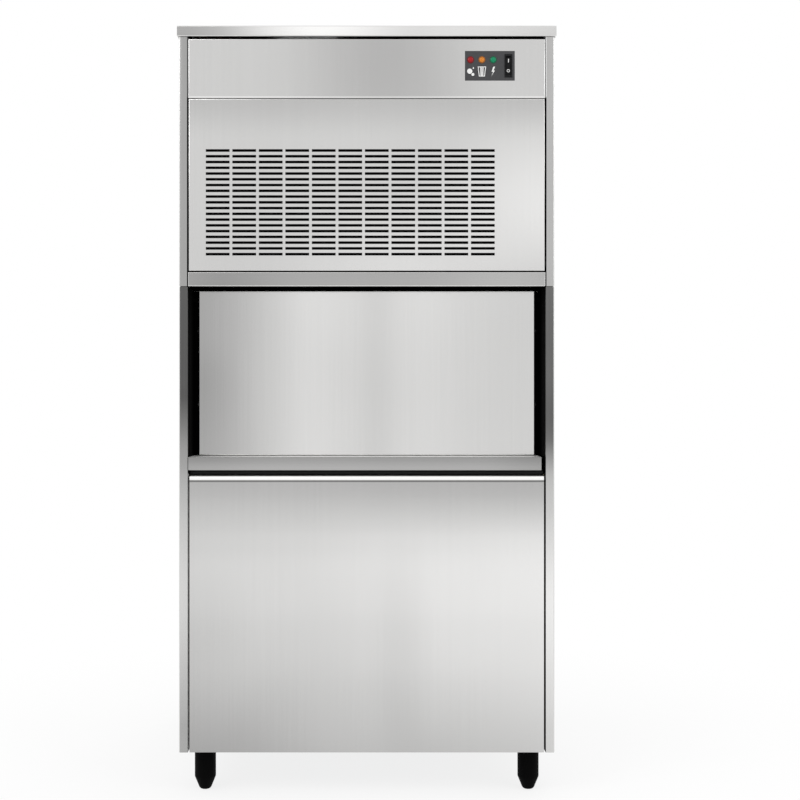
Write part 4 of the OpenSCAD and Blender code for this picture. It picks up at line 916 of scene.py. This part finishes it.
bin_full = bmesh.new()
tub = outline(bin_full, [(-6.2, 7.4), (-4.4, -7.4), (4.4, -7.4), (6.2, 7.4)])
bmesh.ops.inset_individual(bin_full, faces=[tub], thickness=TUB_RIM)
bmesh.ops.delete(bin_full, geom=[tub], context="FACES_ONLY")
for x in BAR_X:
    foot = x * TUB_TAPER
    outline(bin_full, [(x - BAR_HALF, BAR_REACH), (foot - BAR_HALF, -BAR_REACH),
                       (foot + BAR_HALF, -BAR_REACH), (x + BAR_HALF, BAR_REACH)])
printed("bin_mark", bin_full, LAMP_X[1], FRONT, MARK_Z, "cabinet")

power = bmesh.new()
outline(power, [(3.0, 7.4), (0.0, 7.1), (-2.4, -0.5), (0.1, -0.2), (-3.2, -7.4), (2.5, 1.5),
                (0.3, 1.3)])
printed("power_mark", power, LAMP_X[2], FRONT, MARK_Z, "cabinet")

# %% [markdown]
# The rocker's two halves meet at an angle. The I lies on the half that leans out and takes its
# tilt. The O lies on the half that is upright at rest. Both ride on the rocker and tip with it.

# %% Marks on the rocker
ROCKER_TILT = 14.0
ON_OUT, ON_UP = -1.0 * MM, 7.4 * MM
OFF_OUT, OFF_UP = 0.95 * MM, -7.2 * MM
RING_WIDTH = 0.85 * MM
rocker_low, rocker_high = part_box("switch_rocker")
ROCKER_X = (rocker_low.x + rocker_high.x) / 2
ROCKER_MID = (PLATE_LOW.z + PLATE_HIGH.z) / 2
on_mark = bmesh.new()
outline(on_mark, [(-0.6, 2.6), (-0.6, -2.6), (0.6, -2.6), (0.6, 2.6)])
printed("on_mark", on_mark, ROCKER_X, FRONT + ON_OUT, ROCKER_MID + ON_UP, "rocker",
        tilt=ROCKER_TILT)
off_mark = bmesh.new()
disc(off_mark, 0, 0, 2.3)
hole = list(off_mark.faces)
off_mark.normal_update()
bmesh.ops.inset_individual(off_mark, faces=hole, thickness=RING_WIDTH)
bmesh.ops.delete(off_mark, geom=hole, context="FACES_ONLY")
printed("off_mark", off_mark, ROCKER_X, FRONT + OFF_OUT, ROCKER_MID + OFF_UP, "rocker")

# %% [markdown]
# ## Air filter
# Behind the slots sits a washable foam filter. It is made near black and almost without gloss
# so that the slots look black: the foam's own dark colour, deepened as painted shade. A grid
# is thickened, its rim is bevelled, and a coarse cell pattern gives the open foam.

# %% Air filter
FILTER_BACK = 7 * MM
FILTER_THICK = 5 * MM
FILTER_MARGIN = 14 * MM
FILTER_ROUND = 1.2 * MM
SLOTS_LOW = Vector((-0.2401, 0, 0.8076))
SLOTS_HIGH = Vector((0.1910, 0, 0.9662))

# Near black with almost no gloss: dark foam, deepened as painted shade behind the slots.
filter_foam_and_shade = moulded("filter_foam_and_shade", (0.004, 0.004, 0.004), 0.95, 420, 0.0015, 0.02, 0.5)
middle = (SLOTS_LOW + SLOTS_HIGH) / 2
span = SLOTS_HIGH - SLOTS_LOW
wide, tall = span.x + 2 * FILTER_MARGIN, span.z + 2 * FILTER_MARGIN
bm = bmesh.new()
bmesh.ops.create_grid(bm, x_segments=24, y_segments=10, size=0.5)
bmesh.ops.transform(bm, verts=bm.verts, matrix=Matrix.Translation(
    (middle.x, FRONT + FILTER_BACK, middle.z)) @ Matrix.Rotation(radians(90), 4, "X")
    @ Matrix.Diagonal((wide, tall, 1, 1)))
thicken(bm, (0, FILTER_THICK, 0))
soften(bm, [e for e in bm.edges if e.calc_face_angle(0) > SHARP], FILTER_ROUND, 2)
piece("air_filter", bm, "cabinet", [filter_foam_and_shade])
print("air filter", round(wide, 3), "x", round(tall, 3), "m")

# %% [markdown]
# ## Bin liner, door lining and throat
# Moulded tubs have generous inside corners. The liner's copy rounds its hollow edges, and
# the door's lining and the throat frame round their outer ones.

# %% Moulded tub and lining
TUB_EDGE = 60 * MM
rounded_copy("bin_liner", white_plastic, 14 * MM, TUB_EDGE, steps=4, hollow=True)
rounded_copy("door_liner", white_plastic, 2.5 * MM, TUB_EDGE, steps=4)
rounded_copy("throat_frame", bay_black, 1.5 * MM, TUB_EDGE, steps=4)

# %% [markdown]
# ## Fasteners
# The back panels are held by button-head screws through the side panels' rear folds, and the
# cover by three more in its rear skirt. A screw is a spun profile with a sunken socket.

# %% Button-head screws
SCREW_PROFILE = [(0.0, -0.8), (1.2, -0.8), (1.4, -1.8), (2.4, -1.6), (3.2, -1.0), (3.6, 0.0),
                 (0.0, 0.0)]
SCREW_STEPS = 12
screw_steel = raw_metal("screw_steel", (0.62, 0.62, 0.61), 0.3, 0.10)


def screws(name, places, outwards, body, finish=screw_steel):
    bm = bmesh.new()
    for place in places:
        one = spun(SCREW_PROFILE, Vector(place), -outwards, UP, SCREW_STEPS)
        mesh = bpy.data.meshes.new("screw")
        one.to_mesh(mesh)
        one.free()
        bm.from_mesh(mesh)
        bpy.data.meshes.remove(mesh)
    piece(name, bm, body, [finish])
    print(name, len(places))


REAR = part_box("bin_left_panel")[1].y
COVER_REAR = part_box("top_cover")[1].y
THROAT_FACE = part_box("throat_frame")[0].y
SIDES = (-1, 1)
FLANGE_X = 0.270
HEAD_SCREW_Z = (0.79, 0.90, 1.01, 1.11)
BIN_SCREW_Z = (0.10, 0.26, 0.42, 0.58, 0.73)
COVER_SCREW_X, COVER_SCREW_Z = (-0.2, 0.0, 0.2), 1.142
THROAT_SCREW_X, THROAT_SCREW_Z = 0.2615, (0.585, 0.70)
screws("head_back_screws", [(side * FLANGE_X, REAR, z) for side in SIDES for z in HEAD_SCREW_Z],
       BACK, "cabinet")
screws("bin_back_screws", [(side * FLANGE_X, REAR, z) for side in SIDES for z in BIN_SCREW_Z],
       BACK, "cabinet")
screws("cover_screws", [(x, COVER_REAR, COVER_SCREW_Z) for x in COVER_SCREW_X], BACK, "cabinet")
screws("throat_screws", [(side * THROAT_SCREW_X, THROAT_FACE, z)
                         for side in SIDES for z in THROAT_SCREW_Z],
       -BACK, "cabinet", black_enamel)
